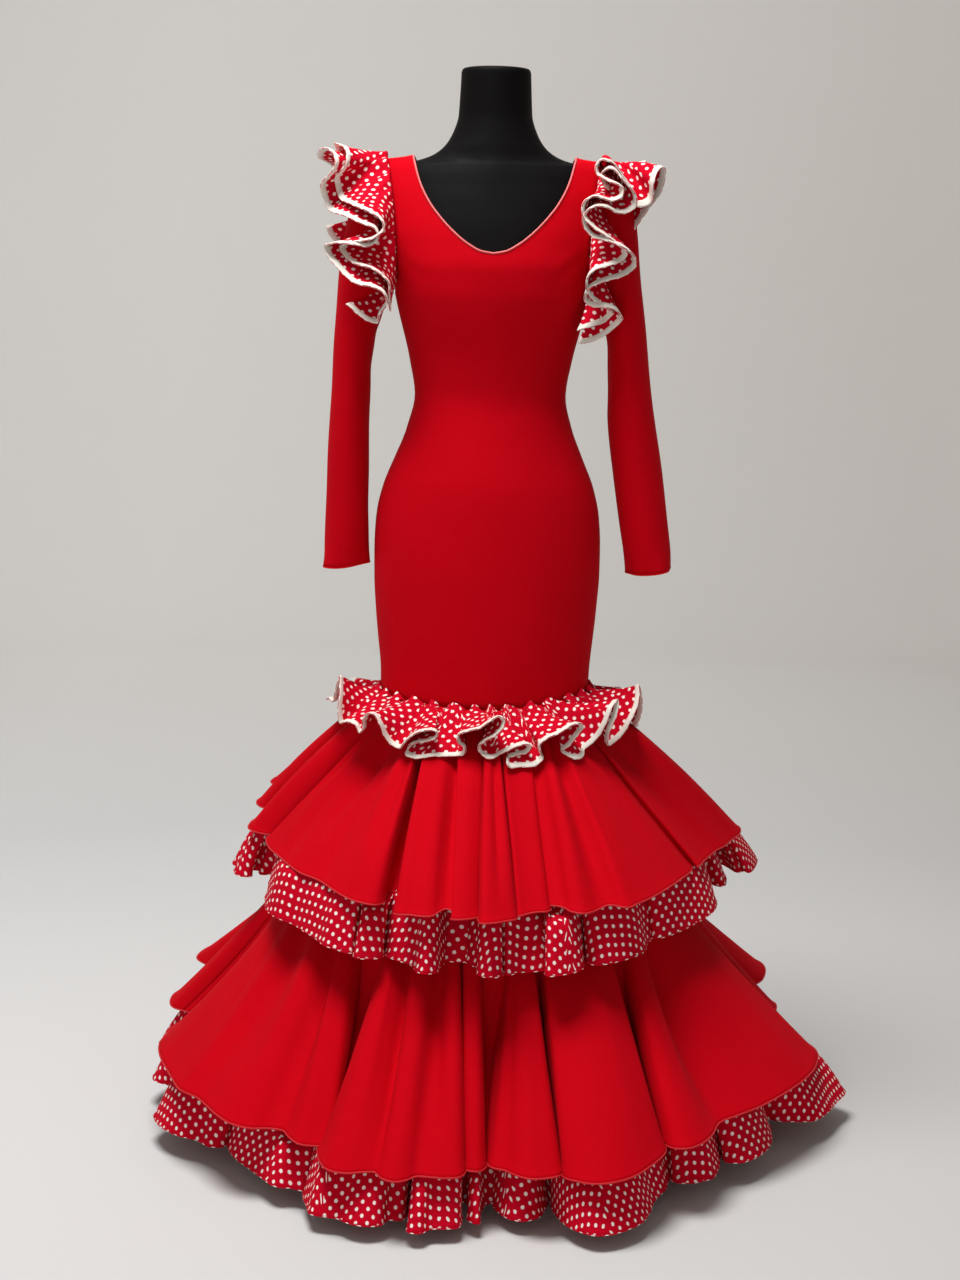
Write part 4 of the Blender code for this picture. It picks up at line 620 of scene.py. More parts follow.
def panel_points(u, v, side, shift=0.0):
    """The sheath's front or back on grids of u (-1 to 1 across) and v (0 at the knee, 1 at the
    underarm, 2 at the neckline and shoulder seam)."""
    half_seam = GAP / 2
    turned = u * math.pi / 2 if side == FRONT else math.pi - u * math.pi / 2
    z_low = mix(knee_line(turned), UNDERARM_HEIGHT, np.minimum(v, 1))
    ring = body_ring(u * math.pi / 2, z_low)
    y_low = body_ring(turned, z_low)[..., 1] + side * half_seam
    share = np.abs(u) / NECK_SHARE
    strap_x = mix(STRAP_INNER_X, SHOULDER_TIP_X, (np.abs(u) - NECK_SHARE) / (1 - NECK_SHARE))
    at_neck = np.abs(u) <= NECK_SHARE
    height = neckline["front_height" if side == FRONT else "back_height"]
    top_x = np.where(at_neck, neckline["half_width"](share), strap_x)
    top_z = np.where(at_neck, height(share), shoulder_height(strap_x))
    above = np.maximum(v - 1, 0)
    z_high = mix(UNDERARM_HEIGHT, top_z, np.sin(above * math.pi / 2))
    edge = armhole["front_x" if side == FRONT else "back_x"]
    power = body["power"](UNDERARM_HEIGHT)
    low_share = np.sin(np.abs(u) * math.pi / 2) ** (2 / power)
    high_share = top_x / edge(top_z)
    x_high = edge(z_high) * mix(low_share, high_share, above)
    y_high = side * (section_depth(x_high, z_high, side) + half_seam)
    low = stack(ring[..., 0], y_low, z_low)
    high = stack(np.sign(u) * x_high, y_high, z_high)
    points = np.where((v <= 1)[..., None], low, high)
    points[..., 0] += shift
    return points


# ---- Armholes and sleeves ------------------------------------------------------------------------
ARMHOLE_TOP = float(shoulder_height(np.array(SHOULDER_TIP_X)))
SLEEVE_START_SHIFT = (0.0011, 0.0028)


def armhole_points(angle, inset=0.0):
    """The armhole edge at +X. The angle is 0 at the shoulder and 90 degrees at the front."""
    z = mix(UNDERARM_HEIGHT, ARMHOLE_TOP, (1 + np.cos(angle)) / 2)
    front = np.sin(angle) >= 0
    x = np.where(front, armhole["front_x"](z), armhole["back_x"](z))
    y = np.where(front, -section_depth(x, z, FRONT, inset), section_depth(x, z, BACK, inset))
    return stack(x, y, z)


def sleeve_points(angle, ring, rows, mirror):
    """A sleeve's middle surface on grids of angle and ring."""
    keyed = [(k + 1, *row) for k, row in enumerate(rows)]
    section = curves(("ring", *SLEEVE_COLUMNS), keyed)
    held = np.maximum(ring, 1.0)
    outer = stack(section["outer_x"](held), 0.0 * held, section["outer_z"](held))
    inner = stack(section["inner_x"](held), 0.0 * held, section["inner_z"](held))
    depth = stack(0.0 * held, -section["half_depth"](held), 0.0 * held)
    c, s = np.cos(angle)[..., None], np.sin(angle)[..., None]
    points = (outer + inner) / 2 + (outer - inner) / 2 * c + depth * s
    start = armhole_points(angle, CLOTH / 2)
    start[..., 0] += mix(*SLEEVE_START_SHIFT, (1 - np.cos(angle)) / 2)
    share = np.minimum(ring, 1.0)[..., None]
    points = np.where(share < 1, mix(start, points, share), points)
    points[..., 0] *= mirror
    return points


# ---- Shoulder ruffles ----------------------------------------------------------------------------
def evenly_along_armhole():
    """A function that gives the armhole angle at a share of the shoulder seam."""
    angles = np.radians(np.linspace(*SHOULDER_SPAN, 801))
    lengths = arc_lengths(armhole_points(angles)[:, None], 0)[:, 0]
    return lambda share: np.interp(share * lengths[-1], lengths, angles)


# ---- Skirt layers --------------------------------------------------------------------------------
base_skirt = curves(BASE_SKIRT_COLUMNS, BASE_SKIRT)


def oval_radius(turn, half_width, front, back):
    s, c = np.sin(turn), np.cos(turn)
    depth = np.where(c > 0, front, back)
    return 1 / np.sqrt((s / half_width) ** 2 + (c / depth) ** 2)


def base_skirt_radius(turn, z):
    return oval_radius(turn, *(base_skirt[name](z) for name in ("half_width", "front", "back")))


def knee_line(turn):
    """The height of the knee seam, lowest at the front and a little higher at +X."""
    s = np.sin(turn)
    front = 0.6400 + (0.0135 + 0.0035 * np.sign(s)) * s * s
    return np.where(np.cos(turn) > 0, front, 0.6535 + 0.0035 * s)


def over_base_skirt(turn, z):
    """The least radius of a layer gathered onto the base skirt."""
    return base_skirt_radius(turn, z) + CLOTH + 2 * GAP


CELL_HEIGHT, CELL_ROWS = 0.005, 160  # of a flounce's table of radii, which has a column for each degree


class Flounce:
    """A layer gathered onto the base skirt. Its hem follows a table of turns, which may fold back."""

    def __init__(self, table, top, bow, drop=1.0, relief=0.0, under=(), gathers=()):
        rows = scaled(table, 1, 1, 1000, 1000)
        self.top, self.bow, self.drop, self.under, self.gathers = top, bow, drop, under, gathers
        turn = (360.0, 360.0, 0.0, 0.0)
        rows = np.concatenate([rows[-4:] - turn, rows, rows[:5] + turn])
        seam, azimuth, reach, height = rows.T
        hem = on_ring(np.radians(azimuth), reach, height)
        self.along = arc_lengths(hem[:, None], 0)[:, 0]
        self.hem = rounded(self.along, hem)
        self.seam = smooth(self.along, seam)
        fine = np.linspace(0, self.along[-1], 6000)
        self.fine, self.fine_seam = fine, self.seam(fine)
        self.round_length = self.along[4 + len(table)] - self.along[4]
        coarse = np.linspace(0, self.along[-1], 1500)
        radii = np.hypot(*self.hem(coarse)[:, :2].T)
        near = np.exp(-(((coarse[:, None] - coarse[None]) / 0.10) ** 2))
        self.coarse = coarse
        self.swell = np.clip(relief * (radii - near @ radii / near.sum(axis=1)), -0.030, 0.010)
        self.low, self.high = self.reaches_by_place()

    def at(self, seam_azimuth):
        """How far along the hem the cloth from a place on the seam lies."""
        return float(np.interp(seam_azimuth, self.fine_seam, self.fine))

    def once_round(self, p):
        return self.along[4] + (p - self.along[4]) % self.round_length

    def hung(self, p, t):
        p = self.once_round(p)
        turn = np.radians(self.seam(p))
        top = knee_line(turn) - GAP if self.top is None else np.full_like(turn, self.top)
        start = on_ring(turn, over_base_skirt(turn, top), top)
        hem = self.hem(p)
        for seam_azimuth, depth, width, reach in self.gathers:
            off = (self.seam(p) - seam_azimuth) / width
            dip = depth * np.exp(-(off**2)) * np.sin(math.pi * np.clip(t / reach, 0, 1)) ** 1.2
            hem = hem * (1 - stack(dip, dip, 0 * dip) / np.maximum(t, 0.05)[..., None] / 0.36)
        share = (t**self.bow)[..., None]
        points = mix(start, hem, share)
        swell = np.interp(p, self.coarse, self.swell) * np.sin(math.pi * t)
        points[..., :2] *= (1 + swell / np.hypot(points[..., 0], points[..., 1]))[..., None]
        points[..., 2] = mix(top, hem[..., 2], t**self.drop)
        return points

    def points(self, p, t):
        """The layer's surface, kept outside the base skirt and inside the layers over it."""
        points = self.hung(p, t)
        azimuth, radius = polar(points)
        fitted = radius
        for outer in self.under:
            fitted = soft_min(fitted, outer.nearest(azimuth, points[..., 2]) - LAYER_GAP, LAYER_BLEND)
        fitted = np.maximum(fitted, over_base_skirt(np.radians(azimuth), points[..., 2]))
        return widen(points, fitted, radius)

    def reaches_by_place(self):
        """The layer's least and greatest radius by azimuth and height."""
        p = self.along[4] + np.linspace(0, self.round_length, 3000)
        t = np.linspace(0, 1, 90)
        points = self.points(*np.meshgrid(p, t, indexing="ij"))
        azimuth, radius = polar(points)
        column = ((azimuth + 180) % 360).astype(int) % 360
        row = np.clip(points[..., 2] / CELL_HEIGHT, 0, CELL_ROWS - 1).astype(int)
        low, high = np.full((360, CELL_ROWS), 9.0), np.zeros((360, CELL_ROWS))
        np.minimum.at(low, (column, row), radius)
        np.maximum.at(high, (column, row), radius)
        for _ in range(2):
            low = np.minimum.reduce([np.roll(low, k, axis=0) for k in (-1, 0, 1)])
            high = np.maximum.reduce([np.roll(high, k, axis=0) for k in (-1, 0, 1)])
        low[:, 1:] = np.minimum(low[:, 1:], low[:, :-1])
        return low, high

    def look_up(self, table, azimuth, z):
        a, level = (azimuth + 179.5) % 360, z / CELL_HEIGHT - 0.5
        i, j = a.astype(int) % 360, np.clip(level, 0, CELL_ROWS - 2).astype(int)
        fa, fz = a - np.floor(a), np.clip(level - j, 0, 1)
        first = mix(table[i, j], table[i, j + 1], fz)
        second = mix(table[(i + 1) % 360, j], table[(i + 1) % 360, j + 1], fz)
        return mix(first, second, fa)

    def nearest(self, azimuth, z):
        return self.look_up(self.low, azimuth, z)

    def widest(self, azimuth, z):
        return self.look_up(self.high, azimuth, z)


# Shoulder ruffles: their name and length, and how far their seam is lifted and shifted outward
SHOULDER_LAYERS = (("upper", 0.082, 0.0090, -0.0026), ("lower", 0.100, 0.0028, 0.0036))
SHOULDER_SPAN = (146.0, -124.0)  # armhole angles of the ruffle's front and back ends
SHOULDER_PLEAT = 0.055  # share of the seam
SHOULDER_CROWN = 0.014  # how far the ruffles at +X rise over the shoulder
SHOULDER_BINDING, KNEE_BINDING = 0.0086, 0.0078

# Free edges of the standing ruffles. Each row is a place on the seam and the step from it to the edge in
# mm. On the shoulders the place is in thousandths of the seam, from its front end to its back end, and
# the steps point outward, ahead and up. The first rows come again, mirrored, at the back end, as many as
# EDGES says. On the knee the place is an azimuth, and the steps point outward, along and up.
KNEE_EDGE = (
    (-86, 60, 63, 30), (-79.9, 70, 59, 2), (-74.9, 79, 42, -21), (-71.5, 80, 27, -36), (-69.4, 78, 37, -31),
    (-65.6, 75, 42, -34), (-62.9, 74, 33, -43), (-60.8, 76, 38, -35), (-56.9, 85, 30, -18), (-54.7, 87, 28, -10),
    (-51.7, 87, 29, -7), (-47.2, 88, 20, -19), (-41.5, 84, 0, -37), (-39.4, 77, -2, -50), (-37.8, 74, 2, -55),
    (-35.9, 81, 15, -40), (-33.8, 84, 24, -27), (-31.7, 83, 35, -20), (-30.2, 79, 42, -21), (-29.5, 78, 40, -28),
    (-28.3, 81, 27, -34), (-26.1, 83, -4, -40), (-24.8, 74, -27, -48), (-23.8, 61, -34, -60), (-22.5, 62, -26, -63),
    (-19.5, 72, -4, -58), (-15.8, 72, 14, -55), (-14.4, 73, 21, -53), (-13.2, 79, 20, -42), (-11.6, 86, 5, -33),
    (-10.5, 89, 1, -23), (-8.6, 90, 9, -15), (-6.6, 90, 19, -10), (-4.3, 88, 27, 2), (-3.1, 85, 34, 7),
    (-2.3, 84, 38, 2), (-1.3, 86, 32, -9), (0.2, 88, 17, -20), (1.9, 87, -6, -30), (3, 81, -18, -39),
    (4, 75, -17, -51), (5.3, 73, -8, -56), (6.7, 77, 1, -51), (8.5, 81, 12, -41), (10.2, 82, 23, -36),
    (11.2, 77, 31, -40), (12, 74, 25, -48), (13.8, 75, 1, -54), (15.7, 66, -21, -60), (16.4, 58, -20, -69),
    (18.1, 59, -9, -70), (20.4, 61, 5, -69), (22.1, 69, 9, -60), (24.5, 84, -5, -37), (25.8, 87, -2, -30),
    (28, 89, 8, -24), (30.5, 89, 20, -14), (31.8, 85, 32, -14), (32.5, 82, 37, -20), (34.1, 84, 19, -31),
    (36.4, 77, -3, -50), (37.4, 72, -13, -55), (38.1, 66, -9, -64), (39.2, 62, 3, -68), (42, 69, 18, -58),
    (44.7, 78, 23, -43), (47.3, 87, 19, -22), (50.1, 91, 16, 1), (51.5, 87, 29, 8), (53.2, 90, 16, -7),
    (55.8, 85, -7, -34), (60.3, 72, -16, -55), (62, 63, 4, -67), (66.3, 73, -6, -56), (72.4, 82, -27, -32),
    (78, 84, -37, -9), (84, 76, -48, 14), (91, 70, -20, -56), (98, 68, 16, -60), (105, 62, -10, -68),
    (112, 70, 18, -53), (121, 86, -22, -20), (129, 71, 20, -51), (138, 86, -21, -20), (146, 69, 15, -55),
    (155, 87, -16, -16), (163, 75, 29, -45), (172, 90, -8, -9), (180, 74, 26, -47), (189, 86, -20, -18),
    (197, 72, 23, -50), (206, 87, -18, -18), (214, 69, 17, -54), (223, 86, -22, -20), (231, 70, 17, -53),
    (239, 91, -5, -7), (246, 68, 10, -58), (252, 70, -20, -52), (259, 62, 48, -14), (267, 60, 62, -12),
)
EDGE_UPPER_NEGATIVE_X = (
    (30, 6, 69, -44), (41, 8, 75, -31), (67, 9, 80, -15), (80, 17, 79, -12), (98, 29, 76, -11), (137, 59, 54, -18),
    (160, 73, 33, -17), (176, 79, 15, -13), (190, 70, 40, -13), (220, 48, 63, -22), (251, 26, 72, -30),
    (285, 10, 76, -29), (297, 11, 77, -27), (341, 31, 71, -28), (367, 45, 61, -32), (394, 60, 44, -35),
    (416, 71, 18, -36), (437, 76, 4, -32), (457, 77, 4, -27), (476, 76, 19, -26), (497, 65, 44, -24),
    (520, 57, 56, -18), (541, 56, 60, -8), (557, 59, 57, 2), (577, 71, 40, 13), (600, 79, 6, 21), (650, 74, -30, 18),
)
EDGE_LOWER_NEGATIVE_X = (
    (20, 63, 69, -36), (26, 54, 71, -45), (36, 42, 69, -59), (56, 18, 65, -74), (64, 16, 72, -68), (87, 3, 84, -54),
    (99, 8, 88, -47), (113, 19, 87, -46), (147, 50, 69, -52), (190, 79, 44, -43), (212, 91, 19, -37),
    (223, 94, 11, -32), (232, 86, 40, -31), (247, 73, 59, -35), (270, 53, 72, -45), (312, 18, 77, -61),
    (327, 10, 81, -58), (340, 11, 84, -53), (376, 34, 77, -54), (417, 61, 56, -56), (435, 75, 32, -58),
    (455, 85, 4, -53), (477, 89, 5, -45), (496, 89, 23, -39), (513, 81, 49, -33), (533, 70, 66, -26),
    (553, 65, 75, -13), (570, 68, 74, 0), (587, 77, 62, 13), (604, 93, 33, 18), (620, 98, 8, 16), (670, 82, -46, 22),
    (707, 33, -76, -56),
)
EDGE_UPPER_POSITIVE_X = (
    (40, -16, 40, -70), (59, -4, 36, -73), (80, 13, 26, -77), (100, 29, 2, -77), (110, 35, 3, -74),
    (121, 29, 26, -72), (140, 13, 39, -71), (158, -1, 44, -69), (173, -7, 52, -63), (188, -7, 60, -55),
    (199, -2, 64, -51), (232, 26, 56, -53), (249, 41, 46, -54), (261, 48, 44, -50), (276, 37, 58, -45),
    (295, 21, 67, -42), (335, -13, 72, -36), (349, -22, 73, -31), (370, -21, 77, -19), (381, -12, 79, -17),
    (416, 21, 72, -34), (427, 30, 69, -32), (436, 32, 71, -27), (471, -1, 79, -22), (481, -10, 79, -19),
    (493, -12, 81, -10), (503, -5, 82, -5), (512, 4, 81, -8), (543, 26, 71, -32), (561, 39, 56, -45),
    (577, 53, 32, -54), (590, 59, 2, -56), (620, 47, 1, -67), (645, 61, 47, -28), (660, 62, 53, -3),
    (680, 65, 44, 24), (700, 72, 7, 39), (730, 72, 7, 39),
)
EDGE_LOWER_POSITIVE_X = (
    (40, -20, 32, -93), (64, -1, 13, -99), (86, 18, 3, -98), (121, 41, 4, -91), (133, 39, 31, -86),
    (146, 29, 48, -83), (160, 15, 51, -85), (175, 0, 41, -91), (188, -12, 38, -92), (197, -16, 48, -86),
    (207, -14, 57, -81), (219, -5, 63, -78), (235, 10, 62, -78), (269, 43, 44, -79), (283, 53, 39, -75),
    (295, 52, 54, -67), (306, 43, 66, -62), (321, 29, 74, -60), (338, 11, 79, -60), (365, -18, 77, -61),
    (378, -27, 79, -55), (390, -30, 83, -46), (402, -25, 88, -40), (414, -15, 91, -38), (424, -4, 91, -41),
    (448, 20, 79, -58), (462, 34, 73, -60), (473, 42, 73, -55), (483, 41, 78, -47), (511, 21, 93, -30),
    (536, -1, 99, -15), (545, -9, 98, -20), (560, 66, 50, -56), (580, 67, 69, -28), (600, 73, 68, -6),
    (625, 87, 50, 6), (655, 86, 51, -10), (690, 68, 68, -27), (730, 52, 76, -39),
)
EDGES = (
    ("positive_x", 1, ((EDGE_UPPER_POSITIVE_X, 12), (EDGE_LOWER_POSITIVE_X, 13))),
    ("negative_x", -1, ((EDGE_UPPER_NEGATIVE_X, 13), (EDGE_LOWER_NEGATIVE_X, 15))),
)

# Folds that start at a seam and fade before the hem: seam azimuth, depth, width in degrees, share reached
GATHERS_1 = ((-44.0, 0.020, 2.6, 0.85), (-37.4, 0.016, 0.9, 0.8), (-58.0, 0.010, 2.5, 0.7), (5.2, 0.010, 1.0, 0.98))
GATHERS_2 = ((-20.5, 0.016, 1.4, 1.0), (-11.0, 0.014, 1.6, 1.0), (56.0, 0.014, 5.0, 1.0), (-58.0, 0.012, 5.0, 0.9))
tier_1 = Flounce(TIER_1, None, 1.0, relief=0.6, gathers=GATHERS_1)
dots_1 = Flounce(DOTS_1, DOTS_1_TOP, 0.5, 2.0, under=(tier_1,))
tier_2 = Flounce(TIER_2, TIER_2_TOP, 1.3, relief=0.7, under=(dots_1,), gathers=GATHERS_2)
dots_2 = Flounce(DOTS_2, DOTS_2_TOP, 0.6, 1.8, under=(tier_2,))
HALVES = (("front", FRONT), ("back", BACK))


def outward_normals(points):
    """Unit normals of a grid, turned to face away from the middle, and whether they had to be turned."""
    normals = grid_normals(points)
    sign = np.sign(np.sum(normals * (points * (1, 1, 0)), axis=-1).mean())
    return normals * sign, sign < 0


def trough(points, x0, z0, x1, z1, width):
    """1 along a line across the front or back and 0 away from it, fading at its ends."""
    line = np.array([x1 - x0, z1 - z0])
    length = np.hypot(*line)
    line = line / length
    off = points[..., [0, 2]] - (x0, z0)
    along = off @ line / length
    across = off @ np.array([-line[1], line[0]])
    fade = np.clip(np.minimum(along, 1 - along) * 3.0, 0, 1)
    return np.exp(-((across / width) ** 2)) * fade * fade * (3 - 2 * fade)


def edge_dip(distance, depth=0.0009, width=0.0016):
    """How far a cloth edge turns in at a seam."""
    return -depth * np.exp(-((distance / width) ** 2))


# ---- The sheath ----------------------------------------------------------------------------------
# Creases: the side, a line's ends across and up (x0, z0, x1, z1), its width and how far it stands out
CREASES = (
    (FRONT, 0.085, 1.255, 0.142, 1.300, 0.0060, -0.0011),
    (FRONT, 0.080, 1.268, 0.140, 1.318, 0.0080, 0.0008),
    (FRONT, -0.088, 1.252, -0.142, 1.292, 0.0065, -0.0009),
    (FRONT, -0.020, 1.062, 0.075, 1.078, 0.0090, -0.0006),
    (FRONT, -0.085, 1.085, 0.010, 1.100, 0.0100, -0.0005),
    (FRONT, 0.100, 0.800, 0.150, 0.700, 0.0110, -0.0010),
    (FRONT, -0.105, 0.790, -0.152, 0.690, 0.0120, -0.0009),
    (BACK, -0.090, 1.075, 0.060, 1.088, 0.0100, -0.0010),
    (BACK, -0.070, 1.100, 0.085, 1.112, 0.0110, -0.0009),
    (BACK, 0.080, 1.250, 0.140, 1.290, 0.0080, -0.0010),
    (BACK, -0.082, 1.245, -0.141, 1.285, 0.0080, -0.0009),
    (BACK, 0.085, 0.790, 0.150, 0.700, 0.0120, -0.0010),
)


def panel_columns():
    """Places across half a panel, close together at its edge."""
    near_edge = [1 - f for f in (0.0, 0.0015, 0.003, 0.005, 0.008, 0.012)]
    inner = list(np.linspace(0, 0.985, 46))
    return np.array(sorted(set(np.round(inner + near_edge + [NECK_SHARE], 5))))


def make_sheath():
    rows = np.concatenate([np.linspace(0, 1, 62), np.linspace(1, 2, 42)[1:]])
    half = panel_columns()
    both = np.concatenate([-half[::-1], half[1:]])
    middle = np.array([0.0, 0.002, 0.004, 0.007, 0.011])
    back_half = np.array(sorted(set(np.round(np.concatenate([half, middle]), 5))))
    for name, columns, side, shift in (
        ("body_front", both, FRONT, 0.0),
        ("body_back_positive_x", back_half, BACK, GAP / 2),
        ("body_back_negative_x", -back_half[::-1], BACK, -GAP / 2),
    ):
        u, v = np.meshgrid(columns, rows, indexing="ij")
        points = panel_points(u, v, side, shift)
        normals, inside = outward_normals(points)
        widths, heights = arc_lengths(points, 0), arc_lengths(points, 1)
        lift = edge_dip(widths) + edge_dip(widths[-1:] - widths)
        for crease_side, x0, z0, x1, z1, width, depth in CREASES:
            if crease_side == side:
                lift = lift + depth * trough(points, x0, z0, x1, z1, width)
        lift = lift + 0.0004 * wobble(5 + side, points[..., 0] * 30, points[..., 2] * 22)
        points = points + normals * (lift - SHELL / 2)[..., None]
        centre = len(columns) // 2 if side == FRONT else 0
        uv = np.stack([widths - widths[centre : centre + 1], heights], axis=-1)
        piece = sheet(f"{name}_cloth", points, uv, red, flip=inside)
        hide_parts(name)
        declare(widths[-1].max(), heights.max(), points)


def declare(width, length, points):
    """Works out the piece's cut: its bounding width and length and its real area in the flat. The results are not
    kept.
    """
    low_left, low_right, high_left, high_right = points[:-1, :-1], points[1:, :-1], points[:-1, 1:], points[1:, 1:]
    a = np.linalg.norm(np.cross(low_right - low_left, high_left - low_left), axis=-1)
    b = np.linalg.norm(np.cross(high_left - high_right, low_right - high_right), axis=-1)
    area = float((a.sum() + b.sum()) / 2)
    width, length = float(width), float(length)
    if area > width * length:
        width = area / length


PIPING_RADIUS = 0.0015


def make_neck_piping():
    half = np.linspace(0, NECK_SHARE, 70)
    across = np.concatenate([-half[:0:-1], half])
    front, back = (
        panel_points(*np.meshgrid(order, [2.0], indexing="ij"), side)[:, 0]
        for side, order in ((FRONT, across), (BACK, across[::-1]))
    )
    loop = np.concatenate([front, back[1:-1]])
    loop = loop[np.linalg.norm(loop - np.roll(loop, 1, axis=0), axis=-1) > 4e-4]
    along = unit(np.roll(loop, -1, axis=0) - np.roll(loop, 1, axis=0))
    side = unit(body_normals(loop))
    inward = unit(np.cross(side, along))
    if np.sum(inward * (loop.mean(axis=0) - loop), axis=-1).mean() < 0:
        inward = -inward
    path = loop + inward * 0.0014 + side * 0.0002
    piece = tube("neckline_piping_cord", path, side, piping, PIPING_RADIUS, sides=8)
    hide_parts("neckline_piping")
    spiral = stitches("neckline_piping_seam", [(loop - inward * 0.0013, side)], red_thread, 0.0016, 0.0028, 0.00018)


def body_normals(points):
    """Unit normals of the body at points on it."""

    def level(p):
        x, y, z = p[..., 0], p[..., 1], p[..., 2]
        power = body["power"](z)
        depth = np.where(y < 0, body["front"](z), body["back"](z))
        return (np.abs(x) / body["half_width"](z)) ** power + (np.abs(y) / depth) ** power

    steps = np.eye(3) * 5e-4
    return unit(np.stack([level(points + s) - level(points - s) for s in steps], axis=-1))


# ---- Sleeves -------------------------------------------------------------------------------------
CUFF_WAVE = 0.0022
CUFF_STITCHES = 0.018  # their height over the cuff's edge
SLEEVE_HEM_RADIUS = 0.0011


def make_sleeves():
    for name, rows, mirror, seed in (
        ("sleeve_positive_x", SLEEVE_POSITIVE_X, 1, 11),
        ("sleeve_negative_x", SLEEVE_NEGATIVE_X, -1, 12),
    ):
        last = len(rows)
        angle = np.linspace(-math.pi, math.pi, 73)
        ring = np.concatenate([np.linspace(0, 1, 10), np.linspace(1, last, 92)[1:]])
        a, r = np.meshgrid(angle, ring, indexing="ij")
        points = sleeve_points(a, r, rows, mirror)
        normals = grid_normals(points, ring=True)
        axis = points.mean(axis=0, keepdims=True)
        inside = np.sum(normals * (points - axis), axis=-1).mean() < 0
        if inside:
            normals = -normals
        down = np.clip((r - 1) / (last - 1), 0, 1)
        ends = np.clip(down * 4, 0, 1)
        soft = wobble(seed, np.sin(a) * 1.3, down * 9.0 + np.cos(a)) * 0.0016 * ends
        cuff = np.clip((down - 0.93) / 0.07, 0, 1) ** 2
        wave = np.sin(3 * a + seed) + 0.6 * np.sin(5 * a + 2.0 * seed)
        lift = soft + cuff * wave * CUFF_WAVE
        points = points + normals * lift[..., None]
        points[..., 2] += cuff * 0.0016 * np.sin(2 * a + 0.7 * seed)
        widths, heights = arc_lengths(points, 0), arc_lengths(points, 1)
        uv = np.stack([widths, heights], axis=-1)
        piece = sheet(f"{name}_cloth", points, uv, red, flip=inside, wrap=True)
        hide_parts(name)
        declare(widths[-1].max(), heights.mean(axis=0).max(), points)
        hem = tube(f"{name}_hem", points[:-1, -1], normals[:-1, -1], red, SLEEVE_HEM_RADIUS)
        level = heights.mean(axis=0)
        row = np.argmin(np.abs(level - (level[-1] - CUFF_STITCHES)))
        line = points[:, row] + normals[:, row] * (SHELL / 2)
        sewn = stitches(f"{name}_hem_stitches", [(line, normals[:, row])], red_thread, 0.0012, 0.0075, 0.00016)


# ---- Ruffles with a bias binding -----------------------------------------------------------------
def fan_uv(points):
    """Flat places on a ring-shaped cut whose inner and outer edges have the ruffle's own lengths, with the
    length of the outer edge and the depth of the ring."""
    inner = arc_lengths(points[:, :1], 0)[-1, 0]
    outer = arc_lengths(points[:, -1:], 0)[-1, 0]
    heights = arc_lengths(points, 1)
    length = heights[:, -1].mean()
    inner = min(max(inner, outer * 0.2), outer * 0.97)
    radius = length * inner / (outer - inner)
    at = arc_lengths(points[:, -1:], 0)[:, 0] / (radius + length)
    r = radius + heights
    return np.stack([r * np.cos(at)[:, None], r * np.sin(at)[:, None]], axis=-1), outer, length


def pleated_uv(points, fold):
    """Flat places for both sides of every cell. Each pleat keeps the cloth's own scale from the free
    edge up, and what is gathered in lies hidden between two pleats."""
    across = arc_lengths(points, 0)
    down = np.diff(points, axis=1)
    way = unit(np.gradient(points, axis=0))
    way = (way[:, 1:] + way[:, :-1]) / 2
    lean = np.sum(down * way, axis=-1)
    rise = np.sqrt(np.maximum(np.sum(down**2, axis=-1) - lean**2, 0))
    lean, rise = (np.pad(-np.cumsum(part[:, ::-1], axis=1)[:, ::-1], ((0, 0), (0, 1))) for part in (lean, rise))
    uv = np.empty((len(points) - 1, points.shape[1], 2, 2))
    number = np.floor(fold[:-1]).astype(int)
    for k in np.unique(number):
        cells = np.flatnonzero(number == k)
        middle = cells[len(cells) // 2]
        start = across[middle, -1] - across[middle] + lean[middle]
        for side in (0, 1):
            uv[cells, :, side, 0] = across[cells + side] + start
            uv[cells, :, side, 1] = rise[cells + side]
    return uv


def normals_at(normals, t, place):
    """The normals along one line across a grid, between its rows."""
    k = int(np.clip(np.searchsorted(t, place) - 1, 0, len(t) - 2))
    return unit(mix(normals[:, k], normals[:, k + 1], (place - t[k]) / (t[k + 1] - t[k])))


# The binding's section: places up from the edge, in shares of its width, and half its thickness there
BINDING_PLACES = np.array([1.0, 0.93, 0.6, 0.25, 0.06, 0.0])
BINDING_HALVES = np.array([0.0007, 0.00125, 0.0014, 0.0014, 0.0012, 0.0])
BINDING_STEP = 0.002  # cloth from one corner of the section to the next
STITCH_PLACE, STITCH_STANDS = 0.84, 0.00142


def make_bound_ruffle(name, ruffle, s, white_width):
    """A ruffle with its binding and the stitches along it, at places s along its free edge."""
    t = np.linspace(0, 1, 22)
    points = ruffle.surface(*np.meshgrid(s, t, indexing="ij"))
    normals = grid_normals(points)
    _, outer, length = fan_uv(points)
    piece = sheet(f"{name}_cloth", points, pleated_uv(points, ruffle.fold(s)), dotted)
    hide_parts(name)
    declare(outer, length, points)
    share = white_width / length

    def line_at(place):
        return ruffle.surface(s, np.full_like(s, place)), normals_at(normals, t, place)

    rings = []
    places = 1 - share * BINDING_PLACES
    for place, half in (*zip(places, BINDING_HALVES), *zip(places[-2::-1], -BINDING_HALVES[-2::-1])):
        line, normal = line_at(place)
        rings.append(line + normal * half)
    rings = np.stack(rings, axis=1)
    count, around = rings.shape[:2]
    faces = ring_faces(count, around, flip=True)
    along = arc_lengths(rings[:, around // 2][:, None], 0)[:, 0]
    corner = [(along[k // around], (k % around) * BINDING_STEP) for face in faces for k in face]
    binding = make_object(f"{name}_binding_strip", rings, faces, white, corner)
    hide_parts(f"{name}_binding")
    line, normal = line_at(1 - share * STITCH_PLACE)
    runs = [(line + normal * (sign * STITCH_STANDS), normal * sign) for sign in (1, -1)]
    sewn = stitches(f"{name}_binding_stitches", runs, white_thread)


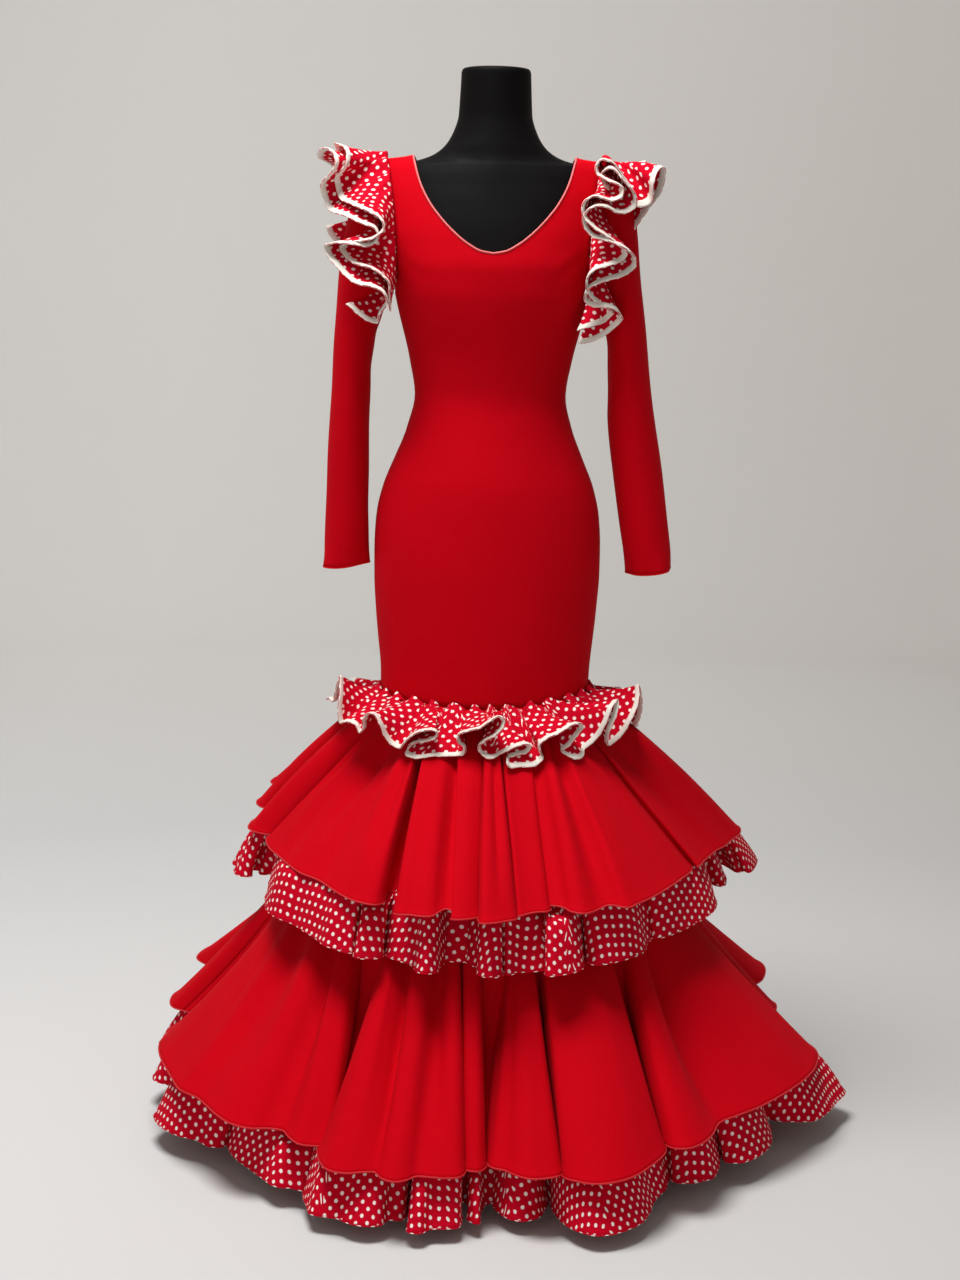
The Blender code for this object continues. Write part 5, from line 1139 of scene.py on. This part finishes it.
EVENED_OVER = 0.8  # the stretch of edge over which a standing ruffle's lean is evened, in its lengths
PLEAT_DEPTH = 0.0060
PRINT_FOLD = 0.055  # free edge from one gather of the print to the next


class Standing:
    """A ruffle that stands out from a seam, with a free edge that follows a table of stops."""

    def __init__(self, rows, length, seam, seed, pleat, heading=0.0, crown=0.0):
        self.length, self.seam, self.seed, self.pleat = length, seam, seed, pleat
        self.heading, self.crown = heading, crown
        steps = unit(rows[:, 1:4]) * length
        base, axes = seam(rows[:, 0])
        edge = base + np.einsum("nk,nkj->nj", steps, axes)
        self.along = arc_lengths(edge[:, None], 0)[:, 0]
        self.place = smooth(self.along, rows[:, 0])
        self.step = rounded(self.along, steps)
        fine = np.linspace(0, self.along[-1], 1500)
        wide = np.exp(-(((fine[:, None] - fine[None]) / (EVENED_OVER * length)) ** 2))
        self.fine = fine
        self.mean = unit((wide @ self.step(fine)) / wide.sum(axis=1, keepdims=True))

    def at(self, place):
        """How far along the edge a place on the seam lies."""
        return float(np.interp(place, self.place(self.fine), self.fine))

    def surface(self, p, t):
        place = self.place(p)
        base, axes = self.seam(place)
        reach = unit(self.step(p))
        mean = np.stack([np.interp(p, self.fine, self.mean[:, k]) for k in range(3)], axis=-1)
        bend = unit(mean * 0.55 + reach * 0.45)
        length = self.length
        path = bend * (t * (1 - t) * length)[..., None] + reach * (t * t * length)[..., None]
        pleat = (place / self.pleat + 0.3 * wobble(self.seed, place / self.pleat * 0.9)) % 1
        step = np.where(pleat < 0.3, pleat / 0.3, (1 - pleat) / 0.7)
        step = step * step * (3 - 2 * step)
        across = unit(np.cross(bend, np.broadcast_to((0.0, 0.0, 1.0), bend.shape)) + 1e-9)
        over = np.cross(across, bend)
        path = path + over * (PLEAT_DEPTH * (step - 0.5) * np.clip(1 - t / 0.6, 0, 1) ** 1.5)[..., None]
        crown = self.crown * np.exp(-(((place - 0.62) / 0.12) ** 2)) * 4 * t * (1 - t)
        path[..., 2] += self.heading * step * np.clip(1 - t / 0.25, 0, 1) ** 2 + crown
        return base + np.einsum("...k,...kj->...j", path, axes)

    def fold(self, p):
        """Numbers the gathers of the print along the free edge."""
        return p / PRINT_FOLD + 0.4 * wobble(self.seed, p * 30)


def shoulder_seam(layer, mirror):
    _, _, lift, shift = layer
    angle_at = evenly_along_armhole()

    def seam(share):
        angle = angle_at(share)
        away = stack(0.0 * angle, -np.sin(angle), np.cos(angle))
        points = armhole_points(angle) + away * lift
        points[..., 0] += shift
        points[..., 0] *= mirror
        axes = np.broadcast_to(np.diag([mirror, -1.0, 1.0]), (*angle.shape, 3, 3))
        return points, axes

    return seam


def there_and_back(rows, count):
    """Adds the first rows again at the seam's back end, where the ruffle runs the other way."""
    back = [(1000 - place, outward, -ahead, up) for place, outward, ahead, up in rows[:count]]
    return scaled([*rows, *back[::-1]], 1000, 1000, 1000, 1000)


def make_shoulder_ruffles():
    for side, mirror, edges in EDGES:
        for layer, edge in zip(SHOULDER_LAYERS, edges):
            crown = SHOULDER_CROWN if mirror > 0 else 0.0
            seam = shoulder_seam(layer, mirror)
            ruffle = Standing(there_and_back(*edge), layer[1], seam, 21 + mirror, SHOULDER_PLEAT, crown=crown)
            p = np.linspace(0, ruffle.along[-1], 420)
            make_bound_ruffle(f"shoulder_ruffle_{layer[0]}_{side}", ruffle, p, SHOULDER_BINDING)


# ---- Flounces ------------------------------------------------------------------------------------
HEM_RADIUS, DOTTED_HEM_RADIUS = 0.0013, 0.0010
# Layers: their name, flounce, columns, rows, whether they are dotted, and their seed
LAYERS = (
    ("flounce_1", tier_1, 400, 28, False, 31),
    ("dotted_ruffle_1", dots_1, 420, 16, True, 32),
    ("flounce_2", tier_2, 440, 30, False, 33),
    ("dotted_ruffle_2", dots_2, 460, 20, True, 34),
)


def flounce_surface(flounce, p, t, seed):
    """The layer's surface with soft unevenness, fine gathers at its seam and a hem that flicks out."""
    points = flounce.points(p, t)
    normals, _ = outward_normals(points)
    turn = 2 * math.pi * p / flounce.round_length
    gathers = np.sin(turn * 200 + 2.5 * wobble(seed + 1, 18 * np.sin(turn), 18 * np.cos(turn)))
    gathers = gathers * np.clip(1 - t / 0.3, 0, 1) ** 1.5 * np.clip(t * 12, 0, 1)
    soft = wobble(seed + 3, 12 * np.sin(turn), 12 * np.cos(turn), t * 2.0) * np.clip(t * 1.6, 0, 1)
    curl = np.clip((t - 0.95) / 0.05, 0, 1) ** 2
    lift = 0.0010 * gathers + 0.0016 * soft + 0.0012 * curl
    return points + normals * lift[..., None], normals


def make_flounces():
    for name, flounce, columns, rows, is_dotted, seed in LAYERS:
        hems = []
        left, right = flounce.at(-90.0), flounce.at(90.0)
        for half, start, end in (("front", left, right), ("back", right, left + flounce.round_length)):
            p = np.linspace(start + GAP / 2, end - GAP / 2, columns)
            t = np.concatenate([np.linspace(0, 0.94, rows - 4), np.linspace(0.94, 1, 5)[1:]])
            points, normals = flounce_surface(flounce, *np.meshgrid(p, t, indexing="ij"), seed)
            uv, outer, length = fan_uv(points)
            inside = np.sum(grid_normals(points) * normals, axis=-1).mean() < 0
            piece = sheet(f"{name}_{half}_cloth", points, uv, dotted if is_dotted else red, flip=inside)
            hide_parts(f"{name}_{half}")
            declare(outer, length, points)
            hems.append((points[:, -1], normals[:, -1]))
        path, side_way = (np.concatenate(parts) for parts in zip(*hems))
        material, radius = (dotted, DOTTED_HEM_RADIUS) if is_dotted else (hem_thread, HEM_RADIUS)
        hem = tube(f"{name}_hem", path, side_way, material, radius)


def make_base_skirt():
    for half, side in HALVES:
        start = -90.0 if side == FRONT else 90.0
        turn = np.radians(np.linspace(start, start + 180, 65))
        turn, share = np.meshgrid(turn, np.linspace(0, 1, 24), indexing="ij")
        z = mix(knee_line(turn) - GAP, BASE_SKIRT[0][0], share)
        points = on_ring(turn, base_skirt_radius(turn, z) - CLOTH / 2, z)
        points[..., 1] += side * GAP / 2
        _, inside = outward_normals(points)
        uv = np.stack([arc_lengths(points, 0), arc_lengths(points, 1)], axis=-1)
        piece = sheet(f"base_skirt_{half}_cloth", points, uv, red, flip=inside)
        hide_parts(f"base_skirt_{half}")
        declare(uv[..., 0].max(), uv[..., 1].max(), points)


# ---- Knee ruffle ---------------------------------------------------------------------------------
KNEE_LENGTH = 0.092
KNEE_PLEAT = 13.0  # degrees of the seam
KNEE_HEADING = 0.0055


def knee_seam(azimuth):
    """The heading of the knee ruffle, with its outward, along and up ways."""
    turn = np.radians(azimuth)
    z = knee_line(turn) + 0.0005
    radius = oval_radius(turn, *(body[name](z) for name in ("half_width", "front", "back"))) + CLOTH
    s, c, none = np.sin(turn), np.cos(turn), 0.0 * turn
    axes = np.stack([stack(s, -c, none), stack(c, s, none), stack(none, none, none + 1)], axis=-2)
    return on_ring(turn, radius, z), axes


class KneeRuffle(Standing):
    """The ruffle over the knee seam, which rests on the flounce below it."""

    def surface(self, p, t):
        points = super().surface(p, t)
        azimuth, radius = polar(points)
        z = points[..., 2]
        top = knee_line(np.radians(azimuth))
        least = tier_1.widest(azimuth, np.minimum(z, top)) + LAYER_GAP
        return widen(points, np.where(z < top, soft_max(radius, least, LAYER_BLEND), radius), radius)


def make_knee_ruffle():
    rows = scaled(KNEE_EDGE, 1, 1000, 1000, 1000)
    rows = np.concatenate([rows, rows[:4] + (360, 0, 0, 0)])
    ruffle = KneeRuffle(rows, KNEE_LENGTH, knee_seam, 41, KNEE_PLEAT, heading=KNEE_HEADING)
    start = ruffle.at(-86.0)
    middle, end = ruffle.at(90.0), ruffle.at(274.0)
    for half, first, last, columns in (("front", start, middle, 560), ("back", middle, end, 460)):
        p = np.linspace(first, last, columns)
        make_bound_ruffle(f"knee_ruffle_{half}", ruffle, p, KNEE_BINDING)


# ---- Form and stand ------------------------------------------------------------------------------
FORM_SIDES = 72
FORM_FOOT = ((0.0, 0.012), (0.0015, 0.006))  # height over the bottom, more inset
FORM_CAP = ((-0.0025, 0.001), (-0.0008, 0.003), (0.0, 0.006), (0.0004, 0.02))  # height over the top, more inset


def form_drop(z):
    """How far the form's shoulders lie under the dress's own. The neck has none of it."""
    drop = FORM_INSET * min(max((z - 1.34) / 0.06, 0.0), 1.0)
    if z > 1.5:
        drop = 0.0 if z > 1.52 else drop * (1.52 - z) / 0.02
    return drop


def make_form():
    angle = np.linspace(0, 2 * math.pi, FORM_SIDES, endpoint=False)
    heights = np.concatenate([
        np.linspace(FORM_BOTTOM + 0.006, 1.39, 70),
        np.linspace(1.39, 1.47, 44)[1:],
        np.linspace(1.47, NECK_TOP - 0.006, 24)[1:],
    ])
    levels = [(FORM_BOTTOM + z, FORM_INSET + inset) for z, inset in FORM_FOOT]
    levels += [(z, FORM_INSET) for z in heights]
    levels += [(NECK_TOP + z, FORM_INSET + inset) for z, inset in FORM_CAP]
    rings = np.stack([body_ring(angle, z, inset) - np.array([0, 0, form_drop(z)]) for z, inset in levels])
    piece = make_object("form_body", rings, ring_faces(len(rings), FORM_SIDES), black)
    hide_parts("form_torso")
    for name in ("stand_base", "stand_pole"):
        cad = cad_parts[name]
        cad.data.materials.clear()
        cad.data.materials.append(metal)


# ---- Zip -----------------------------------------------------------------------------------------
HINGE = Vector((0.0, 0.106134, 1.366432))
ZIP_TILT = math.radians(7.758)


EDGE_ROUNDING = 0.00025


def plate(name, outline, window, thickness, normal_axis, material, body):
    """A flat plate with one window, with its edges rounded."""
    count = len(outline)
    vertices = []
    for level in (-thickness / 2, thickness / 2):
        for a, b in (*outline, *window):
            vertices.append((level, a, b) if normal_axis == "X" else (a, level, b))
    faces = []
    for k in range(count):
        n = (k + 1) % count
        faces.append((k, n, count + n, count + k))
        faces.append((2 * count + n, 2 * count + k, 3 * count + k, 3 * count + n))
        faces.append((n, k, 2 * count + k, 2 * count + n))
        faces.append((count + k, count + n, 3 * count + n, 3 * count + k))
    turn = Matrix.Translation(HINGE) @ Matrix.Rotation(ZIP_TILT, 4, "X")
    piece = make_object(name, [tuple(turn @ Vector(v)) for v in vertices], faces, material, body=body)
    piece.data.shade_flat()
    bevel = piece.modifiers.new("edges", "BEVEL")
    bevel.width = EDGE_ROUNDING
    bevel.segments = 3
    bevel.limit_method = "ANGLE"
    bevel.angle_limit = math.radians(40)
    return piece


def rounded_loop(corners, radius, steps=5):
    """A closed outline with each corner rounded off."""
    out = []
    corners = np.array(corners, float)
    for k, corner in enumerate(corners):
        before, after = corners[k - 1], corners[(k + 1) % len(corners)]
        a, b = unit(before - corner), unit(after - corner)
        p, q = corner + a * radius, corner + b * radius
        for t in np.linspace(0, 1, steps):
            out.append(tuple((1 - t) ** 2 * p + 2 * t * (1 - t) * corner + t * t * q))
    return out


# The zip, out from the teeth (Y) and up (Z): the slider's window and walls, and the pull tab's hole and sides
WINDOW_Y, WINDOW_Z = 0.0011, 0.0022
SLIDER_BASE, SLIDER_WALL, SLIDER_FOOT, SLIDER_WIDTH = 0.0015, 0.0011, 0.00475, 0.0026
PIN_RADIUS = 0.00055
TAB_HOLE, TAB_HOLE_END, TAB_HALF, TAB_LENGTH, TAB_THICKNESS = 0.0018, -0.0075, 0.0031, 0.02, 0.0011


def make_zip():
    def lowered(corners, radius):
        drop = WINDOW_Z - PIN_RADIUS - GAP * 1.5
        return [(y, z - drop) for y, z in rounded_loop(corners, radius)]

    back, front, top = -WINDOW_Y - SLIDER_BASE, WINDOW_Y + SLIDER_WALL, WINDOW_Z + SLIDER_WALL
    arch = [(back, -SLIDER_FOOT), (front, -top), (front, top), (back, SLIDER_FOOT)]
    window = [(-WINDOW_Y, -WINDOW_Z), (WINDOW_Y, -WINDOW_Z), (WINDOW_Y, WINDOW_Z), (-WINDOW_Y, WINDOW_Z)]
    arch, window = lowered(arch, 0.0008), lowered(window, 0.0004)
    slider = plate("zip_slider_body", arch, window, SLIDER_WIDTH, "X", enamel, DRESS)
    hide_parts("zip_slider")
    low, bar = TAB_HALF * 0.9, PIN_RADIUS
    hole = [(-TAB_HOLE, TAB_HOLE_END), (TAB_HOLE, TAB_HOLE_END), (TAB_HOLE, -bar), (-TAB_HOLE, -bar)]
    outline = [(-low, -TAB_LENGTH), (low, -TAB_LENGTH), (TAB_HALF, bar), (-TAB_HALF, bar)]
    hole, outline = rounded_loop(hole, 0.0007), rounded_loop(outline, 0.0010)
    pull = plate("zip_pull_tab", outline, hole, TAB_THICKNESS, "Y", enamel, PULL)
    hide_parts("zip_pull")


# ---- Studio --------------------------------------------------------------------------------------
FLOOR = -0.0005
FLAT_RADIUS, SWEEP_RADIUS, WALL_TOP = 4.6, 1.4, 5.0
BACKDROP_SIDES = 128
# Lights: their name, place, aim, width and power
LIGHTS = (
    ("key_light", (-1.5, -3.1, 2.9), (0, 0, 0.8), 1.8, 2.4),
    ("fill_light", (-0.4, -4.4, 0.70), (0, 0, 0.22), 1.6, 15.0),
    ("wall_light", (0.2, 2.4, 3.8), (0.2, 5.8, 1.0), 1.8, 36.0),
    ("top_light", (-0.55, -0.62, 3.7), (0, 0, 0.5), 1.6, 123.0),
)


def make_backdrop():
    """Paper on a round floor that sweeps up into a wall, paler with distance and darker towards +X. Both are painted
    light: the paler far paper partly evens out the lamps' fall-off there and partly is the paler wall, and the darker
    +X side is painted shade.
    """
    paper, tree, shader = new_material("backdrop_paper_painted_light", 0.9, specular=0.05)
    place = node(tree, "ShaderNodeTexCoord").outputs["Object"]
    away = node(tree, "ShaderNodeVectorMath", {0: place}, operation="LENGTH").outputs[1]
    # Painted light: the paper grows paler from 2.0 m to 4.4 m out, partly against the lamps' fall-off there and
    # partly as the paler wall
    far = node(tree, "ShaderNodeMapRange", {"Value": away, "From Min": 2.0, "From Max": 4.4}).outputs[0]
    colour = blend_colours(tree, far, (0.74, 0.735, 0.73), (0.97, 0.95, 0.925))
    x = node(tree, "ShaderNodeSeparateXYZ", {0: place}).outputs[0]
    # Painted shade: the paper darkens towards +X, the side away from the lamps, which stand towards -X
    across = node(tree, "ShaderNodeMapRange", {"Value": x, "From Min": -1.2, "From Max": 1.6}).outputs[0]
    shade = blend_colours(tree, across, (1.0, 1.0, 1.0), (0.81, 0.795, 0.78))
    painted_light_paper = node(tree, "ShaderNodeMix", {0: 1.0, 6: colour, 7: shade}, data_type="RGBA", blend_type="MULTIPLY")
    tree.links.new(painted_light_paper.outputs[2], shader.inputs["Base Color"])
    profile = [(FLAT_RADIUS, FLOOR)]
    for k in range(1, 17):
        a = k / 16 * math.pi / 2
        profile.append((FLAT_RADIUS + SWEEP_RADIUS * math.sin(a), FLOOR + SWEEP_RADIUS * (1 - math.cos(a))))
    profile.append((FLAT_RADIUS + SWEEP_RADIUS, WALL_TOP))
    sides = BACKDROP_SIDES
    vertices = [(0, 0, FLOOR)]
    for radius, z in profile:
        for a in (2 * math.pi * k / sides for k in range(sides)):
            vertices.append((radius * math.cos(a), radius * math.sin(a), z))
    faces = [(0, 1 + k, 1 + (k + 1) % sides) for k in range(sides)]
    faces += [tuple(1 + k for k in face) for face in ring_faces(len(profile), sides, flip=True)[:-2]]
    mesh = bpy.data.meshes.new("studio_backdrop")
    mesh.from_pydata(vertices, [], faces)
    mesh.materials.append(paper)
    mesh.shade_smooth()
    backdrop = bpy.data.objects.new("studio_backdrop", mesh)
    bpy.context.scene.collection.objects.link(backdrop)


def make_studio():
    make_backdrop()
    world = bpy.data.worlds.new("studio")
    world.use_nodes = True
    sky = world.node_tree.nodes["Background"].inputs
    sky["Color"].default_value = (1.0, 0.99, 0.97, 1)
    sky["Strength"].default_value = 0.150
    bpy.context.scene.world = world
    for name, place, aim, size, power in LIGHTS:
        light = bpy.data.lights.new(name, "AREA")
        light.shape = "DISK"
        light.size = size
        light.energy = power
        lamp = bpy.data.objects.new(name, light)
        lamp.location = place
        way = Vector(aim) - Vector(place)
        lamp.rotation_euler = way.to_track_quat("-Z", "Y").to_euler()
        bpy.context.scene.collection.objects.link(lamp)

    camera = bpy.data.cameras.new("camera")
    camera.lens = 66.5
    camera.sensor_width = 36.0
    view = bpy.data.objects.new("camera", camera)
    view.matrix_world = (
        Matrix.Translation((-0.008, -3.5, 1.25))
        @ Matrix.Rotation(math.radians(90 - 8.53), 4, "X")
        @ Matrix.Rotation(math.radians(1.1), 4, "Z")
    )
    bpy.context.scene.collection.objects.link(view)
    bpy.context.scene.camera = view
    bpy.context.scene.view_settings.view_transform = "Standard"


make_form()
make_sheath()
make_neck_piping()
make_sleeves()
make_shoulder_ruffles()
make_base_skirt()
make_flounces()
make_knee_ruffle()
make_zip()
make_studio()
